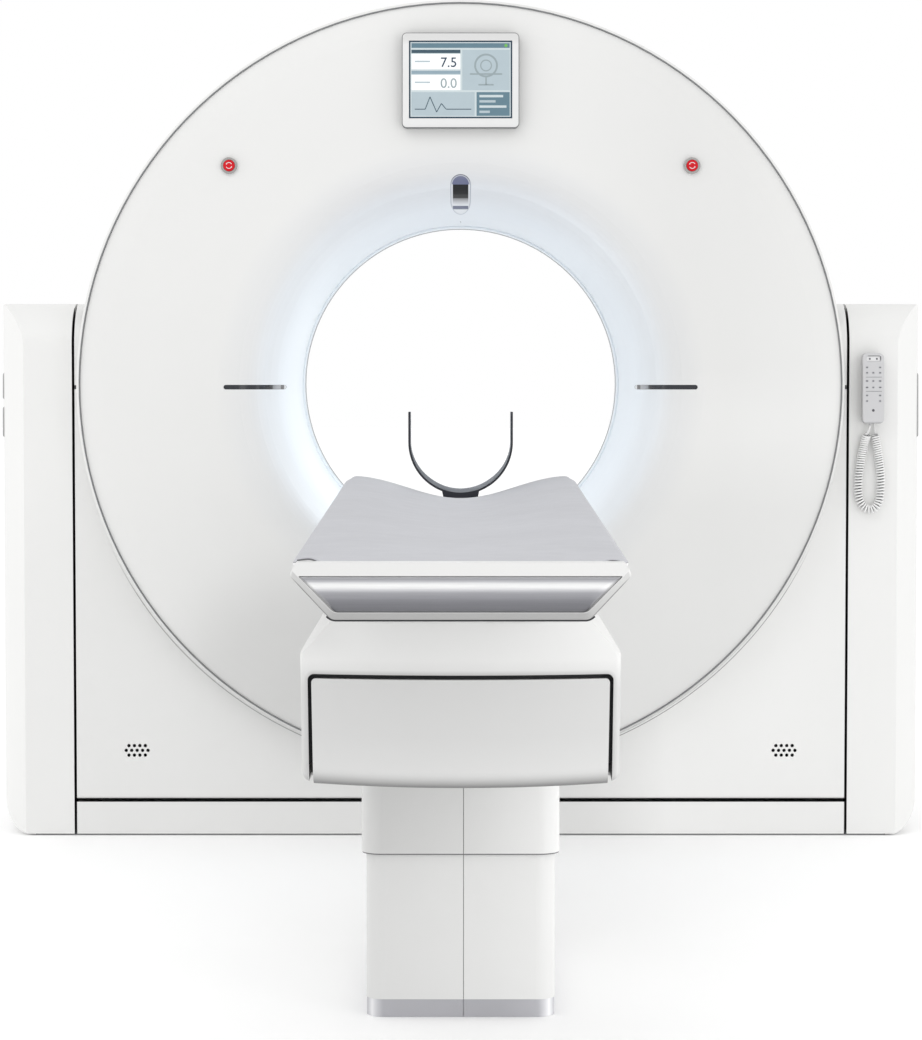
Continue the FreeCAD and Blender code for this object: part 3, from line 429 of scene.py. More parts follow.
def funnel_white():
    """The front cover: the same paint, with a painted blue-white glow down the funnel for the bore's light, and painted
    light and shade in patches.
    """
    m, t, b = nt("front_cover_white")
    v = coords(t)
    r = span(t, radius_from_bore(t, v), 0.34, 0.54, 0, 1)
    # painted light: a blue-white glow down the funnel, for the bore's light
    funnel_glow = ramp(
        t,
        r,
        [(0.02, (0.80, 0.845, 0.885)), (0.16, (0.79, 0.825, 0.86)), (0.36, (0.765, 0.785, 0.805)), (0.62, (0.76, 0.765, 0.765)), (0.95, WHITE)],
        "EASE",
    )
    big = noise(t, v, 1.7, 3)
    c = mixed(t, 1.0, funnel_glow, ramp(t, big, [(0.3, (0.98, 0.98, 0.98)), (0.7, (1, 1, 1))]), "MULTIPLY")
    x, z = axis(t, v, 0), axis(t, v, 2)
    # a dark outline round the top window: the gap's line with painted shade, darkest at its top
    dz = maths(t, "SUBTRACT", z, maths(t, "MINIMUM", maths(t, "MAXIMUM", z, 1.3568), 1.3874))
    rim = maths(t, "SQRT", maths(t, "ADD", maths(t, "MULTIPLY", x, x), maths(t, "MULTIPLY", dz, dz)))
    line = maths(t, "MULTIPLY", band(t, rim, 0.0206, 0.0216, 0.0004), span(t, z, 1.30, 1.31, 0, 1))
    shade = span(t, z, 1.345, 1.41, 0.55, 1.0)
    c = mixed(t, maths(t, "MULTIPLY", line, shade), c, (0.33, 0.36, 0.44))
    over = maths(t, "MULTIPLY", line, span(t, z, 1.392, 1.402, 0, 1))
    c = mixed(t, over, c, (0.13, 0.14, 0.18))
    # painted shadow of the couch, low on the left
    gx, gz = maths(t, "SUBTRACT", x, -0.36), maths(t, "SUBTRACT", z, 0.30)
    d = maths(t, "SQRT", maths(t, "ADD", maths(t, "MULTIPLY", gx, gx), maths(t, "MULTIPLY", gz, gz)))
    c = mixed(t, 1.0, c, ramp(t, span(t, d, 0, 0.36, 0, 1), [(0.0, (0.81,) * 3), (0.35, (0.83,) * 3), (1.0, (1, 1, 1))], "EASE"), "MULTIPLY")
    # painted shade low on the right
    low = maths(t, "MULTIPLY", span(t, x, 0.20, 0.55, 0, 1), span(t, z, 0.90, 0.70, 0, 1))
    c = mixed(t, low, c, mixed(t, 1.0, c, (0.925, 0.925, 0.925), "MULTIPLY"))
    # painted shade high in the funnel
    rr = span(t, radius_from_bore(t, v), 0.42, 0.50, 1, 0)
    c = mixed(t, maths(t, "MULTIPLY", rr, span(t, z, 1.24, 1.38, 0, 1)), c, mixed(t, 1.0, c, (0.915, 0.915, 0.925), "MULTIPLY"))
    # painted light: a paler blue-white patch on the funnel's inner left
    close = span(t, radius_from_bore(t, v), 0.362, 0.395, 1, 0)
    c = mixed(t, maths(t, "MULTIPLY", close, span(t, x, -0.26, -0.34, 0, 1)), c, (0.865, 0.90, 0.93))
    # painted shade on the right side
    aside = maths(t, "MULTIPLY", span(t, x, 0.22, 0.45, 0, 1), span(t, z, 0.85, 1.0, 0, 1))
    c = mixed(t, maths(t, "MULTIPLY", aside, span(t, x, 0.60, 0.80, 1, 0.4)), c, mixed(t, 1.0, c, (0.945, 0.945, 0.945), "MULTIPLY"))
    t.links.new(c, b.inputs["Base Color"])
    t.links.new(span(t, noise(t, v, 9, 4, 0.6), 0.3, 0.7, 0.36, 0.46), b.inputs["Roughness"])
    first = bump(t, b, noise(t, v, 5, 1, 0.4), 0.12, 0.002)
    bump(t, b, noise(t, v, 260, 2, 0.5), 0.25, 0.00012, first)
    b.inputs["Specular IOR Level"].default_value = 0.42
    return m


M["front_cover_white"] = funnel_white()


def liner():
    """The bore's liner: pale translucent-looking sheet with a darker seal at its rear edge."""
    m, t, b = nt("liner")
    v = coords(t)
    y = span(t, axis(t, v, 1), Y0 - 0.052, Y0 + 0.045, 0, 1)
    c = ramp(t, y, [(0.0, (0.80, 0.845, 0.885)), (0.52, (0.80, 0.845, 0.88)), (0.54, (0.33, 0.34, 0.36)), (1.0, (0.30, 0.31, 0.33))])
    c2 = mixed(t, 1.0, c, ramp(t, noise(t, v, 30, 3), [(0.3, (0.985, 0.985, 0.985)), (0.7, (1, 1, 1))]), "MULTIPLY")
    t.links.new(c2, b.inputs["Base Color"])
    t.links.new(span(t, noise(t, v, 14, 3), 0.3, 0.7, 0.42, 0.5), b.inputs["Roughness"])
    bump(t, b, noise(t, v, 400, 2), 0.1, 0.0001)
    return m


M["liner"] = liner()


def window_top():
    """The laser window over the bore: cap, dark pane, fading pane, slate line, pale foot."""
    m, t, b = nt("window_top")
    v = coords(t)
    z = span(t, axis(t, v, 2), 1.3364, 1.4076, 0, 1)

    def f(zz):
        return (zz - 1336.4) / 71.2

    col = ramp(
        t,
        z,
        [
            (0.0, (0.74, 0.76, 0.79)),
            (f(1343.2), (0.76, 0.78, 0.80)),
            (f(1344.0), (0.13, 0.15, 0.22)),
            (f(1349.0), (0.13, 0.15, 0.22)),
            (f(1349.6), (0.76, 0.78, 0.80)),
            (f(1354.0), (0.60, 0.61, 0.63)),
            (f(1362.4), (0.24, 0.24, 0.25)),
            (f(1362.9), (0.034, 0.035, 0.036)),
            (f(1369.0), (0.032, 0.033, 0.034)),
            (f(1370.0), (0.010, 0.010, 0.011)),
            (f(1388.2), (0.008, 0.008, 0.009)),
            (f(1388.9), (0.15, 0.165, 0.265)),
            (f(1400.0), (0.17, 0.185, 0.28)),
            (1.0, (0.20, 0.21, 0.29)),
        ],
    )
    x = node(t, "ShaderNodeMath", operation="ABSOLUTE")
    t.links.new(axis(t, v, 0), x.inputs[0])
    side = span(t, x.outputs[0], 0.0163, 0.0168, 0, 1)
    zz = axis(t, v, 2)
    upper = span(t, zz, 1.3895, 1.3885, 0, 1)
    k = node(t, "ShaderNodeMath", operation="MULTIPLY")
    t.links.new(side, k.inputs[0])
    t.links.new(upper, k.inputs[1])
    c = mixed(t, k.outputs[0], col, (0.70, 0.71, 0.74))
    up = maths(t, "MAXIMUM", maths(t, "SUBTRACT", zz, 1.3876), 0.0)
    far = maths(t, "SQRT", maths(t, "ADD", maths(t, "MULTIPLY", x.outputs[0], x.outputs[0]), maths(t, "MULTIPLY", up, up)))
    cap = maths(t, "MULTIPLY", span(t, far, 0.0178, 0.0182, 0, 1), span(t, zz, 1.3885, 1.3895, 0, 1))
    c = mixed(t, cap, c, (0.52, 0.54, 0.60))
    t.links.new(c, b.inputs["Base Color"])
    t.links.new(span(t, noise(t, v, 60, 2), 0.3, 0.7, 0.34, 0.42), b.inputs["Roughness"])
    b.inputs["Specular IOR Level"].default_value = 0.1
    return m


def window_side():
    m, t, b = nt("window_side")
    v = coords(t)
    a = node(t, "ShaderNodeMath", operation="ABSOLUTE")
    t.links.new(axis(t, v, 0), a.inputs[0])
    x = span(t, a.outputs[0], 0.377, 0.501, 0, 1)

    def f(xx):
        return (xx - 377) / 124

    dark = (0.028, 0.030, 0.036)
    c = ramp(
        t,
        x,
        [
            (0.0, (0.74, 0.76, 0.78)),
            (f(381.0), (0.66, 0.68, 0.70)),
            (f(381.8), dark),
            (f(386.6), dark),
            (f(387.4), (0.34, 0.35, 0.36)),
            (f(396.0), (0.30, 0.31, 0.33)),
            (f(401.2), (0.20, 0.21, 0.22)),
            (f(402.0), dark),
            (1.0, dark),
        ],
    )
    t.links.new(c, b.inputs["Base Color"])
    t.links.new(span(t, noise(t, v, 60, 2), 0.3, 0.7, 0.14, 0.2), b.inputs["Roughness"])
    b.inputs["Specular IOR Level"].default_value = 0.35
    return m


M["window_top"], M["window_side"] = window_top(), window_side()


def glossy(name, colour, rough, spec=0.5, vary=0.04, coat=0.0):
    m, t, b = nt(name)
    v = coords(t)
    t.links.new(ramp(t, noise(t, v, 40, 2), [(0.3, dull(colour, 1 - vary)), (0.7, dull(colour, 1 + vary))]), b.inputs["Base Color"])
    t.links.new(span(t, noise(t, v, 55, 3), 0.3, 0.7, rough * 0.85, rough * 1.2), b.inputs["Roughness"])
    b.inputs["Specular IOR Level"].default_value = spec
    if coat:
        b.inputs["Coat Weight"].default_value = coat
        b.inputs["Coat Roughness"].default_value = 0.08
    return m


M["button_red"] = glossy("button_red", (0.58, 0.004, 0.012), 0.42, 0.25)
M["screen_glass"] = glossy("screen_glass", (0.03, 0.055, 0.085), 0.12, 0.3)


def mattress_cloth():
    """Coated grey fabric: fine plain weave, soft mottling."""
    m, t, b = nt("mattress_cloth")
    v = coords(t)
    base = (0.49, 0.495, 0.525)
    big = noise(t, v, 4.0, 4, 0.55)
    c = ramp(t, big, [(0.3, dull(base, 0.965)), (0.7, dull(base, 1.03))])
    wx = node(t, "ShaderNodeTexWave", wave_type="BANDS", bands_direction="X", wave_profile="SIN")
    wy = node(t, "ShaderNodeTexWave", wave_type="BANDS", bands_direction="Y", wave_profile="SIN")
    for w in (wx, wy):
        w.inputs["Scale"].default_value = 260
        w.inputs["Distortion"].default_value = 0.6
        w.inputs["Detail"].default_value = 1
        t.links.new(v, w.inputs["Vector"])
    weave = node(t, "ShaderNodeMath", operation="MULTIPLY")
    t.links.new(wx.outputs["Fac"], weave.inputs[0])
    t.links.new(wy.outputs["Fac"], weave.inputs[1])
    c2 = mixed(t, 0.5, c, ramp(t, weave.outputs[0], [(0.0, (0.93, 0.93, 0.93)), (0.6, (1, 1, 1))]), "MULTIPLY")
    t.links.new(c2, b.inputs["Base Color"])
    t.links.new(span(t, noise(t, v, 25, 3), 0.3, 0.7, 0.55, 0.68), b.inputs["Roughness"])
    first = bump(t, b, noise(t, v, 16, 3, 0.5), 0.15, 0.0015)
    bump(t, b, weave.outputs[0], 0.35, 0.0002, first)
    b.inputs["Sheen Weight"].default_value = 0.12
    b.inputs["Sheen Roughness"].default_value = 0.5
    b.inputs["Specular IOR Level"].default_value = 0.3
    return m


M["mattress_cloth"] = mattress_cloth()


def carbon():
    """Carbon-fibre laminate under a satin lacquer; the cut front edge is darker."""
    m, t, b = nt("carbon")
    v = coords(t)
    w = scaled(t, v, (1, 1, 1))
    chk = node(t, "ShaderNodeTexWave", wave_type="BANDS", bands_direction="DIAGONAL", wave_profile="SIN")
    chk.inputs["Scale"].default_value = 120
    t.links.new(w, chk.inputs["Vector"])
    y = span(t, axis(t, v, 1), Y0 - 0.7275, Y0 - 0.722, 0, 1)
    c = ramp(t, chk.outputs["Fac"], [(0.2, (0.062, 0.071, 0.092)), (0.8, (0.084, 0.093, 0.114))])
    c2 = mixed(t, y, (0.035, 0.037, 0.045), c)
    t.links.new(c2, b.inputs["Base Color"])
    t.links.new(span(t, noise(t, v, 40, 3), 0.3, 0.7, 0.6, 0.7), b.inputs["Roughness"])
    bump(t, b, chk.outputs["Fac"], 0.1, 0.0002)
    b.inputs["Specular IOR Level"].default_value = 0.15
    return m


M["carbon"] = carbon()


def silver():
    """Brushed satin metal, with a painted reflection: the light-to-dark sweep of its rounded section is painted by
    height, and its end faces are painted pale.
    """
    m, t, b = nt("foot_silver")
    v = coords(t)
    z = span(t, axis(t, v, 2), 0.664, 0.7125, 0, 1)
    # painted reflection and shade, listed by height
    base = ramp(
        t,
        z,
        [
            (0.0000, (0.400, 0.401, 0.425)),
            (0.0536, (0.380, 0.381, 0.404)),
            (0.0742, (0.190, 0.191, 0.207)),
            (0.1113, (0.186, 0.187, 0.202)),
            (0.2206, (0.196, 0.197, 0.213)),
            (0.3299, (0.230, 0.231, 0.249)),
            (0.4103, (0.300, 0.301, 0.322)),
            (0.4907, (0.337, 0.338, 0.360)),
            (0.5443, (0.375, 0.376, 0.399)),
            (0.6000, (0.530, 0.532, 0.554)),
            (0.6392, (0.670, 0.672, 0.689)),
            (0.6804, (0.840, 0.843, 0.847)),
            (0.7340, (0.915, 0.918, 0.915)),
            (0.7753, (0.870, 0.873, 0.874)),
            (0.8021, (0.800, 0.802, 0.811)),
            (0.8289, (0.680, 0.682, 0.699)),
            (0.8557, (0.530, 0.532, 0.554)),
            (0.8825, (0.470, 0.471, 0.495)),
            (0.9093, (0.390, 0.391, 0.414)),
            (0.9361, (0.415, 0.416, 0.440)),
            (0.9567, (0.660, 0.662, 0.680)),
            (0.9773, (0.740, 0.742, 0.755)),
            (1.0000, (0.550, 0.552, 0.574)),
        ],
    )
    n = node(t, "ShaderNodeTexCoord").outputs["Normal"]
    # painted highlight: faces that turn sideways are pale
    base = mixed(t, span(t, maths(t, "ABSOLUTE", axis(t, n, 0)), 0.18, 0.40, 0, 1), base, (0.80, 0.80, 0.81))
    lines = noise(t, scaled(t, v, (0.02, 1, 1)), 900, 3, 0.6)
    c = mixed(t, 1.0, base, ramp(t, lines, [(0.25, (0.93, 0.93, 0.93)), (0.75, (1.04, 1.04, 1.04))]), "MULTIPLY")
    t.links.new(c, b.inputs["Base Color"])
    t.links.new(span(t, lines, 0.25, 0.75, 0.32, 0.42), b.inputs["Roughness"])
    bump(t, b, lines, 0.15, 0.00008)
    b.inputs["Metallic"].default_value = 0.85
    return m


M["foot_silver"] = silver()

LOOK = {}
for names, mat in (
    ("column_cover_left column_cover_right", "column_white"),
    ("kick_panel_rear drum_shroud lower_cover_rear rear_cover", "cover_white"),
    ("kick_panel_front lower_cover_front", "lower_white"),
    ("front_cover", "front_cover_white"),
    ("front_trim_ring", "trim_grey"),
    ("bore_liner", "liner"),
    ("display_housing", "display_white"),
    ("display_screen", "screen_glass"),
    ("laser_window_top", "window_top"),
    ("laser_window_left laser_window_right", "window_side"),
    ("estop_collar_left estop_collar_right", "collar_metal"),
    ("estop_button_left estop_button_right", "button_red"),
    ("handset handset_holder", "handset_grey"),
    ("handset_lead_top handset_cord_coil handset_lead_return", "cord_grey"),
    ("foot_fascia", "fascia_white"),
    ("cradle", "couch_white"),
    ("lower_sleeve_left lower_sleeve_right", "sleeve_lower_white"),
    ("upper_sleeve_left upper_sleeve_right", "sleeve_upper_white"),
    ("couch_housing", "housing_white"),
    ("couch_front_panel", "panel_white"),
    ("base_skirt floor_cable_duct", "skirt_grey"),
    ("mattress", "mattress_cloth"),
    ("head_holder head_holder_mount", "carbon"),
    ("foot_panel", "foot_silver"),
    ("gantry_base_frame tilt_stand_left tilt_stand_right couch_base_plate couch_frame lift_column_outer", "steel_frame"),
    ("tilt_frame rotor_frame", "cast_frame"),
    ("main_bearing slip_ring lift_column_inner guide_carriage_left guide_carriage_right table_subframe", "bright_steel"),
    ("tilt_gearmotor travel_gearmotor drive_stator", "motor_black"),
    ("xray_tube hv_generator tube_cooler detector_array", "unit_painted"),
):
    for n in names.split():
        LOOK[n] = mat
for n, mat in LOOK.items():
    for s in N[n].material_slots:
        s.material = M[mat]
missing = sorted(set(N) - set(LOOK))
if missing:
    raise ValueError("no material for %s" % missing)


# ---- the handset's curly cord -------------------------------------------------------------------
ROUTE = [
    (872.4, -376.0, 876.75),
    (871.9, -375.4, 871.0),
    (869.2, -372.4, 864.5),
    (865.0, -367.6, 853.5),
    (861.0, -364.6, 836.0),
    (855.6, -363.2, 810.0),
    (850.8, -363.0, 779.0),
    (848.4, -363.0, 747.0),
    (850.3, -363.0, 719.5),
    (857.6, -363.0, 704.5),
    (868.0, -363.0, 697.2),
    (879.0, -363.0, 697.2),
    (888.8, -363.0, 704.5),
    (895.4, -363.0, 719.5),
    (897.4, -363.0, 747.0),
    (896.4, -363.0, 779.0),
    (892.6, -363.0, 810.0),
    (888.4, -362.8, 836.0),
    (885.9, -361.8, 853.0),
    (885.0, -360.4, 863.6),
    (882.9, -357.6, 883.0),
    (882.0, -356.0, 895.75),
]
WIRE, HELIX_R, PER_TURN = 0.004, 0.0075, 14
CURL_TOP = 0.8586  # where the curl begins and ends

def nurbs(name, points, resolution):
    cu = bpy.data.curves.new(name, "CURVE")
    cu.dimensions = "3D"
    sp = cu.splines.new("NURBS")
    sp.points.add(len(points) - 1)
    for p, c in zip(sp.points, points):
        p.co = (*c, 1)
    sp.order_u = 3
    sp.use_endpoint_u = True
    sp.resolution_u = resolution
    cu.resolution_u = resolution
    return cu


route_curve = nurbs("cord_route", [at(*p) for p in ROUTE], 24)
route = link("cord_route", route_curve)
bpy.context.view_layer.update()
line = bpy.data.meshes.new_from_object(route)
pts = [v.co.copy() for v in line.vertices]
bpy.data.objects.remove(route)
run = [0.0]
for a, b in zip(pts, pts[1:]):
    run.append(run[-1] + (b - a).length)


def on_route(s):
    """The point and heading at length s along the route."""
    s = min(max(s, 0.0), run[-1])
    i = 0
    while i < len(run) - 2 and run[i + 1] < s:
        i += 1
    k = (s - run[i]) / max(1e-9, run[i + 1] - run[i])
    return pts[i].lerp(pts[i + 1], k)


def heading(s):
    return (on_route(s + 0.003) - on_route(s - 0.003)).normalized()


hang = [i for i in range(len(pts)) if pts[i].z < CURL_TOP]
s_in, s_out = run[hang[0]], run[hang[-1]]
wire = [on_route(s_in * k / 5) for k in range(5)]
along, s = [], s_in
while s < s_out:  # the curl is closed up near its ends and drawn open in the loop
    along.append(s)
    s += (0.0047 + 0.0016 * min(1.0, max(0.0, (min(s - s_in, s_out - s) - 0.045) / 0.05))) / PER_TURN
steps = len(along) - 1
up = Vector((0, -1, 0))
for k, s in enumerate(along):
    d = heading(s)
    up = (up - d * up.dot(d)).normalized()
    side = d.cross(up)
    turn = 2 * math.pi * k / PER_TURN
    grow = min(1.0, k / (PER_TURN * 0.9), (steps - k) / (PER_TURN * 0.9))
    r = HELIX_R * math.sin(grow * math.pi / 2)
    wobble = 1 + 0.03 * math.sin(k * 0.137) + 0.02 * math.sin(k * 0.041 + 1.0)
    wire.append(on_route(s) + (up * math.cos(turn) + side * math.sin(turn)) * r * wobble)
wire += [on_route(s_out + (run[-1] - s_out) * k / 6) for k in range(1, 7)]
wire[0] = pts[0].copy()
cord_curve = nurbs("handset_cord_line", wire, 2)
cord_curve.bevel_depth = WIRE / 2
cord_curve.bevel_resolution = 4
cord_curve.use_fill_caps = True
round_cord = link("handset_cord_line", cord_curve)
bare = link("tmp", nurbs("tmp", wire, 2))
bpy.context.view_layer.update()
tube_mesh = bpy.data.meshes.new_from_object(round_cord)
line_mesh = bpy.data.meshes.new_from_object(bare)
for o in (round_cord, bare):
    bpy.data.objects.remove(o)
tree = kdtree.KDTree(len(pts))
for i, p in enumerate(pts):
    tree.insert(p, i)
tree.balance()
tube_mesh.name = "handset_cord"
# painted shade: the flanks between the coil's turns are darkened, and its inner side a little
coil_shade = tube_mesh.attributes.new("coil_shade", "FLOAT", "POINT")
for v in tube_mesh.vertices:
    _, i, _ = tree.find(v.co)
    a_, b_ = pts[max(0, i - 1)], pts[min(len(pts) - 1, i + 1)]
    d_ = (b_ - a_).normalized()
    off = v.co - a_
    r_ = (off - d_ * off.dot(d_)).length  # distance from the curl's own axis
    k = (r_ - HELIX_R) / (WIRE / 2)
    coil_shade.data[v.index].value = 0.15 if r_ < HELIX_R - WIRE * 0.55 else max(0.0, min(1.0, (0.62 - k) / 0.75))


def cord_material():
    m, t, b = nt("cord_grey")
    v = coords(t)
    # painted shade from the per-vertex coil shading
    f = node(t, "ShaderNodeAttribute", attribute_name="coil_shade").outputs["Fac"]
    c = ramp(t, f, [(0.0, (0.87, 0.87, 0.865)), (0.5, (0.70, 0.70, 0.70)), (1.0, (0.30, 0.30, 0.305))])
    c = mixed(t, 1.0, c, ramp(t, noise(t, v, 30, 2), [(0.3, (0.97, 0.97, 0.97)), (0.7, (1, 1, 1))]), "MULTIPLY")
    t.links.new(c, b.inputs["Base Color"])
    t.links.new(span(t, noise(t, v, 90, 3), 0.3, 0.7, 0.38, 0.48), b.inputs["Roughness"])
    bump(t, b, noise(t, v, 700, 2), 0.08, 0.00005)
    return m


M["cord_soft"] = cord_material()
tube_mesh.materials.clear()
tube_mesh.materials.append(M["cord_soft"])
tube_mesh.polygons.foreach_set("use_smooth", [True] * len(tube_mesh.polygons))
cord = link("handset_cord", tube_mesh, "base")
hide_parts("handset_lead_top", "handset_cord_coil", "handset_lead_return")


# ---- mattress -----------------------------------------------------------------------------------
MW, MY0, MY1, MT = 217.0, -2797.0, -730.0, 14.0


def trough(x, half, centre, edge):
    return centre + (edge - centre) * (1 - math.cos(math.pi * min(1.0, abs(x) / half))) / 2


def pad_top(x, y):
    k = (y - MY0) / (MY1 - MY0)
    near, far = 730.5, trough(x, MW, 737.5, 782.0)
    return near + (far - near) * k


def ease(k):
    k = max(0.0, min(1.0, k))
    return k * k * (3 - 2 * k)


def half(y):
    """Half the pad's width: it overhangs a little along the sides and is drawn in at both ends."""
    return MW + 8.9 - 8.6 * (1 - ease((y - MY0) / 60)) - 7.5 * (1 - ease((MY1 - y) / 150))


def lift(x, y):
    """The near corners ride up a little over the fascia."""
    reach = max(0.0, 1 - (y - MY0) / 55.0) ** 2
    k = abs(x)
    if x < 0:
        h = 8.0 * ease((k - 181) / 18) - 2.2 * ease((k - 202) / 16)
    else:
        h = 5.4 * ease((k - 181) / 18) - 2.4 * ease((k - 202) / 16)
    return h * reach


FOLDS = [
    # (x, y) of one end, (x, y) of the other, half width, height
    ((150, -2770), (207, -2605), 8, 1.1),
    ((180, -2615), (214, -2490), 8, 0.9),
    ((95, -2640), (205, -2795), 10, -0.7),
    ((-175, -2700), (-214, -2795), 9, 0.8),
    ((-150, -2690), (-205, -2796), 8, -0.7),
    ((-60, -2300), (60, -1900), 40, -0.7),
    ((80, -1700), (150, -1300), 30, 0.6),
    ((-140, -1500), (-90, -1100), 26, -0.6),
]


def fold_height(x, y):
    h = 0.0
    for (ax, ay), (bx, by), w, height in FOLDS:
        dx, dy = bx - ax, by - ay
        L = math.hypot(dx, dy)
        k = max(0.0, min(1.0, ((x - ax) * dx + (y - ay) * dy) / (L * L)))
        d = math.hypot(x - ax - dx * k, y - ay - dy * k)
        h += height * math.exp(-((d / w) ** 2)) * math.sin(math.pi * (0.12 + 0.76 * k))
    return h


def mattress():
    """A closed pad with rounded edges all round, a dark grey band just under its top edge, a pale backing, and its low
    points.
    """
    nx, R = 48, 3.5
    ys = [MY0 + 3 * k for k in range(20)]
    n_mid = 172
    ys += [MY0 + 60 + (MY1 - MY0 - 75) * k / n_mid for k in range(n_mid + 1)]
    ys += [MY1 - 15 + 3.75 * k for k in range(1, 5)]
    us = [2 * i / nx - 1 for i in range(nx + 1)]
    us = [0.65 * u + 0.35 * math.sin(math.pi / 2 * u) for u in us]
    bm = bmesh.new()
    tops, lows = [], []
    for y in ys:
        top, low, w = [], [], half(y)
        for u in us:
            x, inner = w * u, MW * u
            edge = min(w - abs(x), y - MY0, MY1 - y)
            up_ = lift(x, y)
            drop = (R - math.sqrt(max(0.0, R * R - (R - min(R, edge)) ** 2))) * (1 - 0.65 * min(1.0, up_ / 4.0))
            puff = 1 - math.exp(-edge / 28.0)
            z = pad_top(inner, y) - drop - 0.9 * (1 - puff) + fold_height(x, y) * puff - 0.9
            zl = pad_top(inner, y) - MT + 0.1 + drop * 0.9
            top.append(bm.verts.new(at(x, y, min(z, pad_top(inner, y)) + up_)))
            low.append(bm.verts.new(at(x, y, zl)))
        tops.append(top)
        lows.append(low)
    ny = len(ys) - 1
    for j in range(ny):
        for i in range(nx):
            bm.faces.new((tops[j][i], tops[j][i + 1], tops[j + 1][i + 1], tops[j + 1][i]))
            bm.faces.new((lows[j][i], lows[j + 1][i], lows[j + 1][i + 1], lows[j][i + 1])).material_index = 2
    rim = [(0, i) for i in range(nx)] + [(j, nx) for j in range(ny)] + [(ny, i) for i in range(nx, 0, -1)] + [(j, 0) for j in range(ny, 0, -1)]
    stacks = []
    for j, i in rim:
        a_, b_ = tops[j][i], lows[j][i]
        stacks.append([a_] + [bm.verts.new(a_.co.lerp(b_.co, f)) for f in (0.07, 0.16, 0.5)] + [b_])
    for k, here in enumerate(stacks):
        there = stacks[(k + 1) % len(stacks)]
        for r_ in range(4):
            bm.faces.new((here[r_], here[r_ + 1], there[r_ + 1], there[r_])).material_index = (0, 1, 2, 2)[r_]
    bmesh.ops.recalc_face_normals(bm, faces=bm.faces)
    bm.verts.index_update()
    held = [v.index for row in lows for v in row]
    return bm, held


def simulated(o, held, pressure, cap):
    """Fills a closed pad by cloth simulation, holds its movement to cap, and applies the result."""
    start = [v.co.copy() for v in o.data.vertices]
    group = o.vertex_groups.new(name="rests")
    group.add(held, 1.0, "REPLACE")
    mod = o.modifiers.new("Cloth", "CLOTH")
    c = mod.settings
    c.quality = 4
    c.mass = 0.3
    c.tension_stiffness = c.compression_stiffness = 15
    c.shear_stiffness = 5
    c.bending_stiffness = 0.5
    c.use_pressure = True
    c.uniform_pressure_force = pressure
    c.effector_weights.gravity = 0
    c.vertex_group_mass = "rests"
    mod.point_cache.frame_start, mod.point_cache.frame_end = 1, 20
    for f in range(1, 21):
        scene.frame_set(f)
    done = o.evaluated_get(bpy.context.evaluated_depsgraph_get()).data
    moved = [v.co.copy() for v in done.vertices]
    o.modifiers.remove(mod)
    o.vertex_groups.remove(group)
    most = max((b_ - a_).length for a_, b_ in zip(start, moved))
    for v, a_, b_ in zip(o.data.vertices, start, moved):
        d_ = b_ - a_
        far = d_.length
        if far > 1e-7:
            v.co = a_ + d_ * (min(far, cap * (1 - math.exp(-far / (most * 0.25)))) / far)
    scene.frame_set(1)
    print("cloth moved up to %.1f mm" % (most * 1000))


# a dark grey band round the pad just under its top edge
M["edge_band_grey"] = moulded("edge_band_grey", (0.17, 0.17, 0.18), rough=(0.6, 0.7), grain=0.6)
M["pad_backing"] = moulded("pad_backing", (0.80, 0.80, 0.80), rough=(0.6, 0.7), grain=0.6)
pad_bm, pad_held = mattress()
pad = mesh_object("mattress_pad", pad_bm, [M["mattress_cloth"], M["edge_band_grey"], M["pad_backing"]], "tabletop")
simulated(pad, pad_held, 1.0, 0.0016)
finer = pad.modifiers.new("Subdivision", "SUBSURF")
finer.levels = finer.render_levels = 1
bpy.context.view_layer.update()
fine = bpy.data.meshes.new_from_object(pad.evaluated_get(bpy.context.evaluated_depsgraph_get()))
pad.modifiers.remove(finer)
pad.data = fine
fine.name = "mattress_pad"
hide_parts("mattress")


# ---- silver foot panel --------------------------------------------------------------------------
def outline(points, radii, n=8):
    """Polygon with rounded corners as a list of (x, z)."""
    out = []
    m = len(points)
    for i in range(m):
        p, a, b = Vector(points[i]), Vector(points[i - 1]), Vector(points[(i + 1) % m])
        u, w = (a - p).normalized(), (b - p).normalized()
        r = radii[i]
        half = math.acos(max(-1, min(1, u.dot(w)))) / 2
        d = r / math.tan(half)
        c = p + (u + w).normalized() * (r / math.sin(half))
        s, e = p + u * d - c, p + w * d - c
        a0, a1 = math.atan2(s.y, s.x), math.atan2(e.y, e.x)
        da = (a1 - a0 + math.pi) % (2 * math.pi) - math.pi
        for k in range(n + 1):
            t = a0 + da * k / n
            out.append((c.x + r * math.cos(t), c.y + r * math.sin(t)))
    return out


def spread(points, step):
    """Adds points along the long runs of a closed outline."""
    out = []
    for i, p in enumerate(points):
        q = points[(i + 1) % len(points)]
        n = max(1, int(math.hypot(q[0] - p[0], q[1] - p[1]) / step))
        out += [(p[0] + (q[0] - p[0]) * k / n, p[1] + (q[1] - p[1]) * k / n) for k in range(n)]
    return out


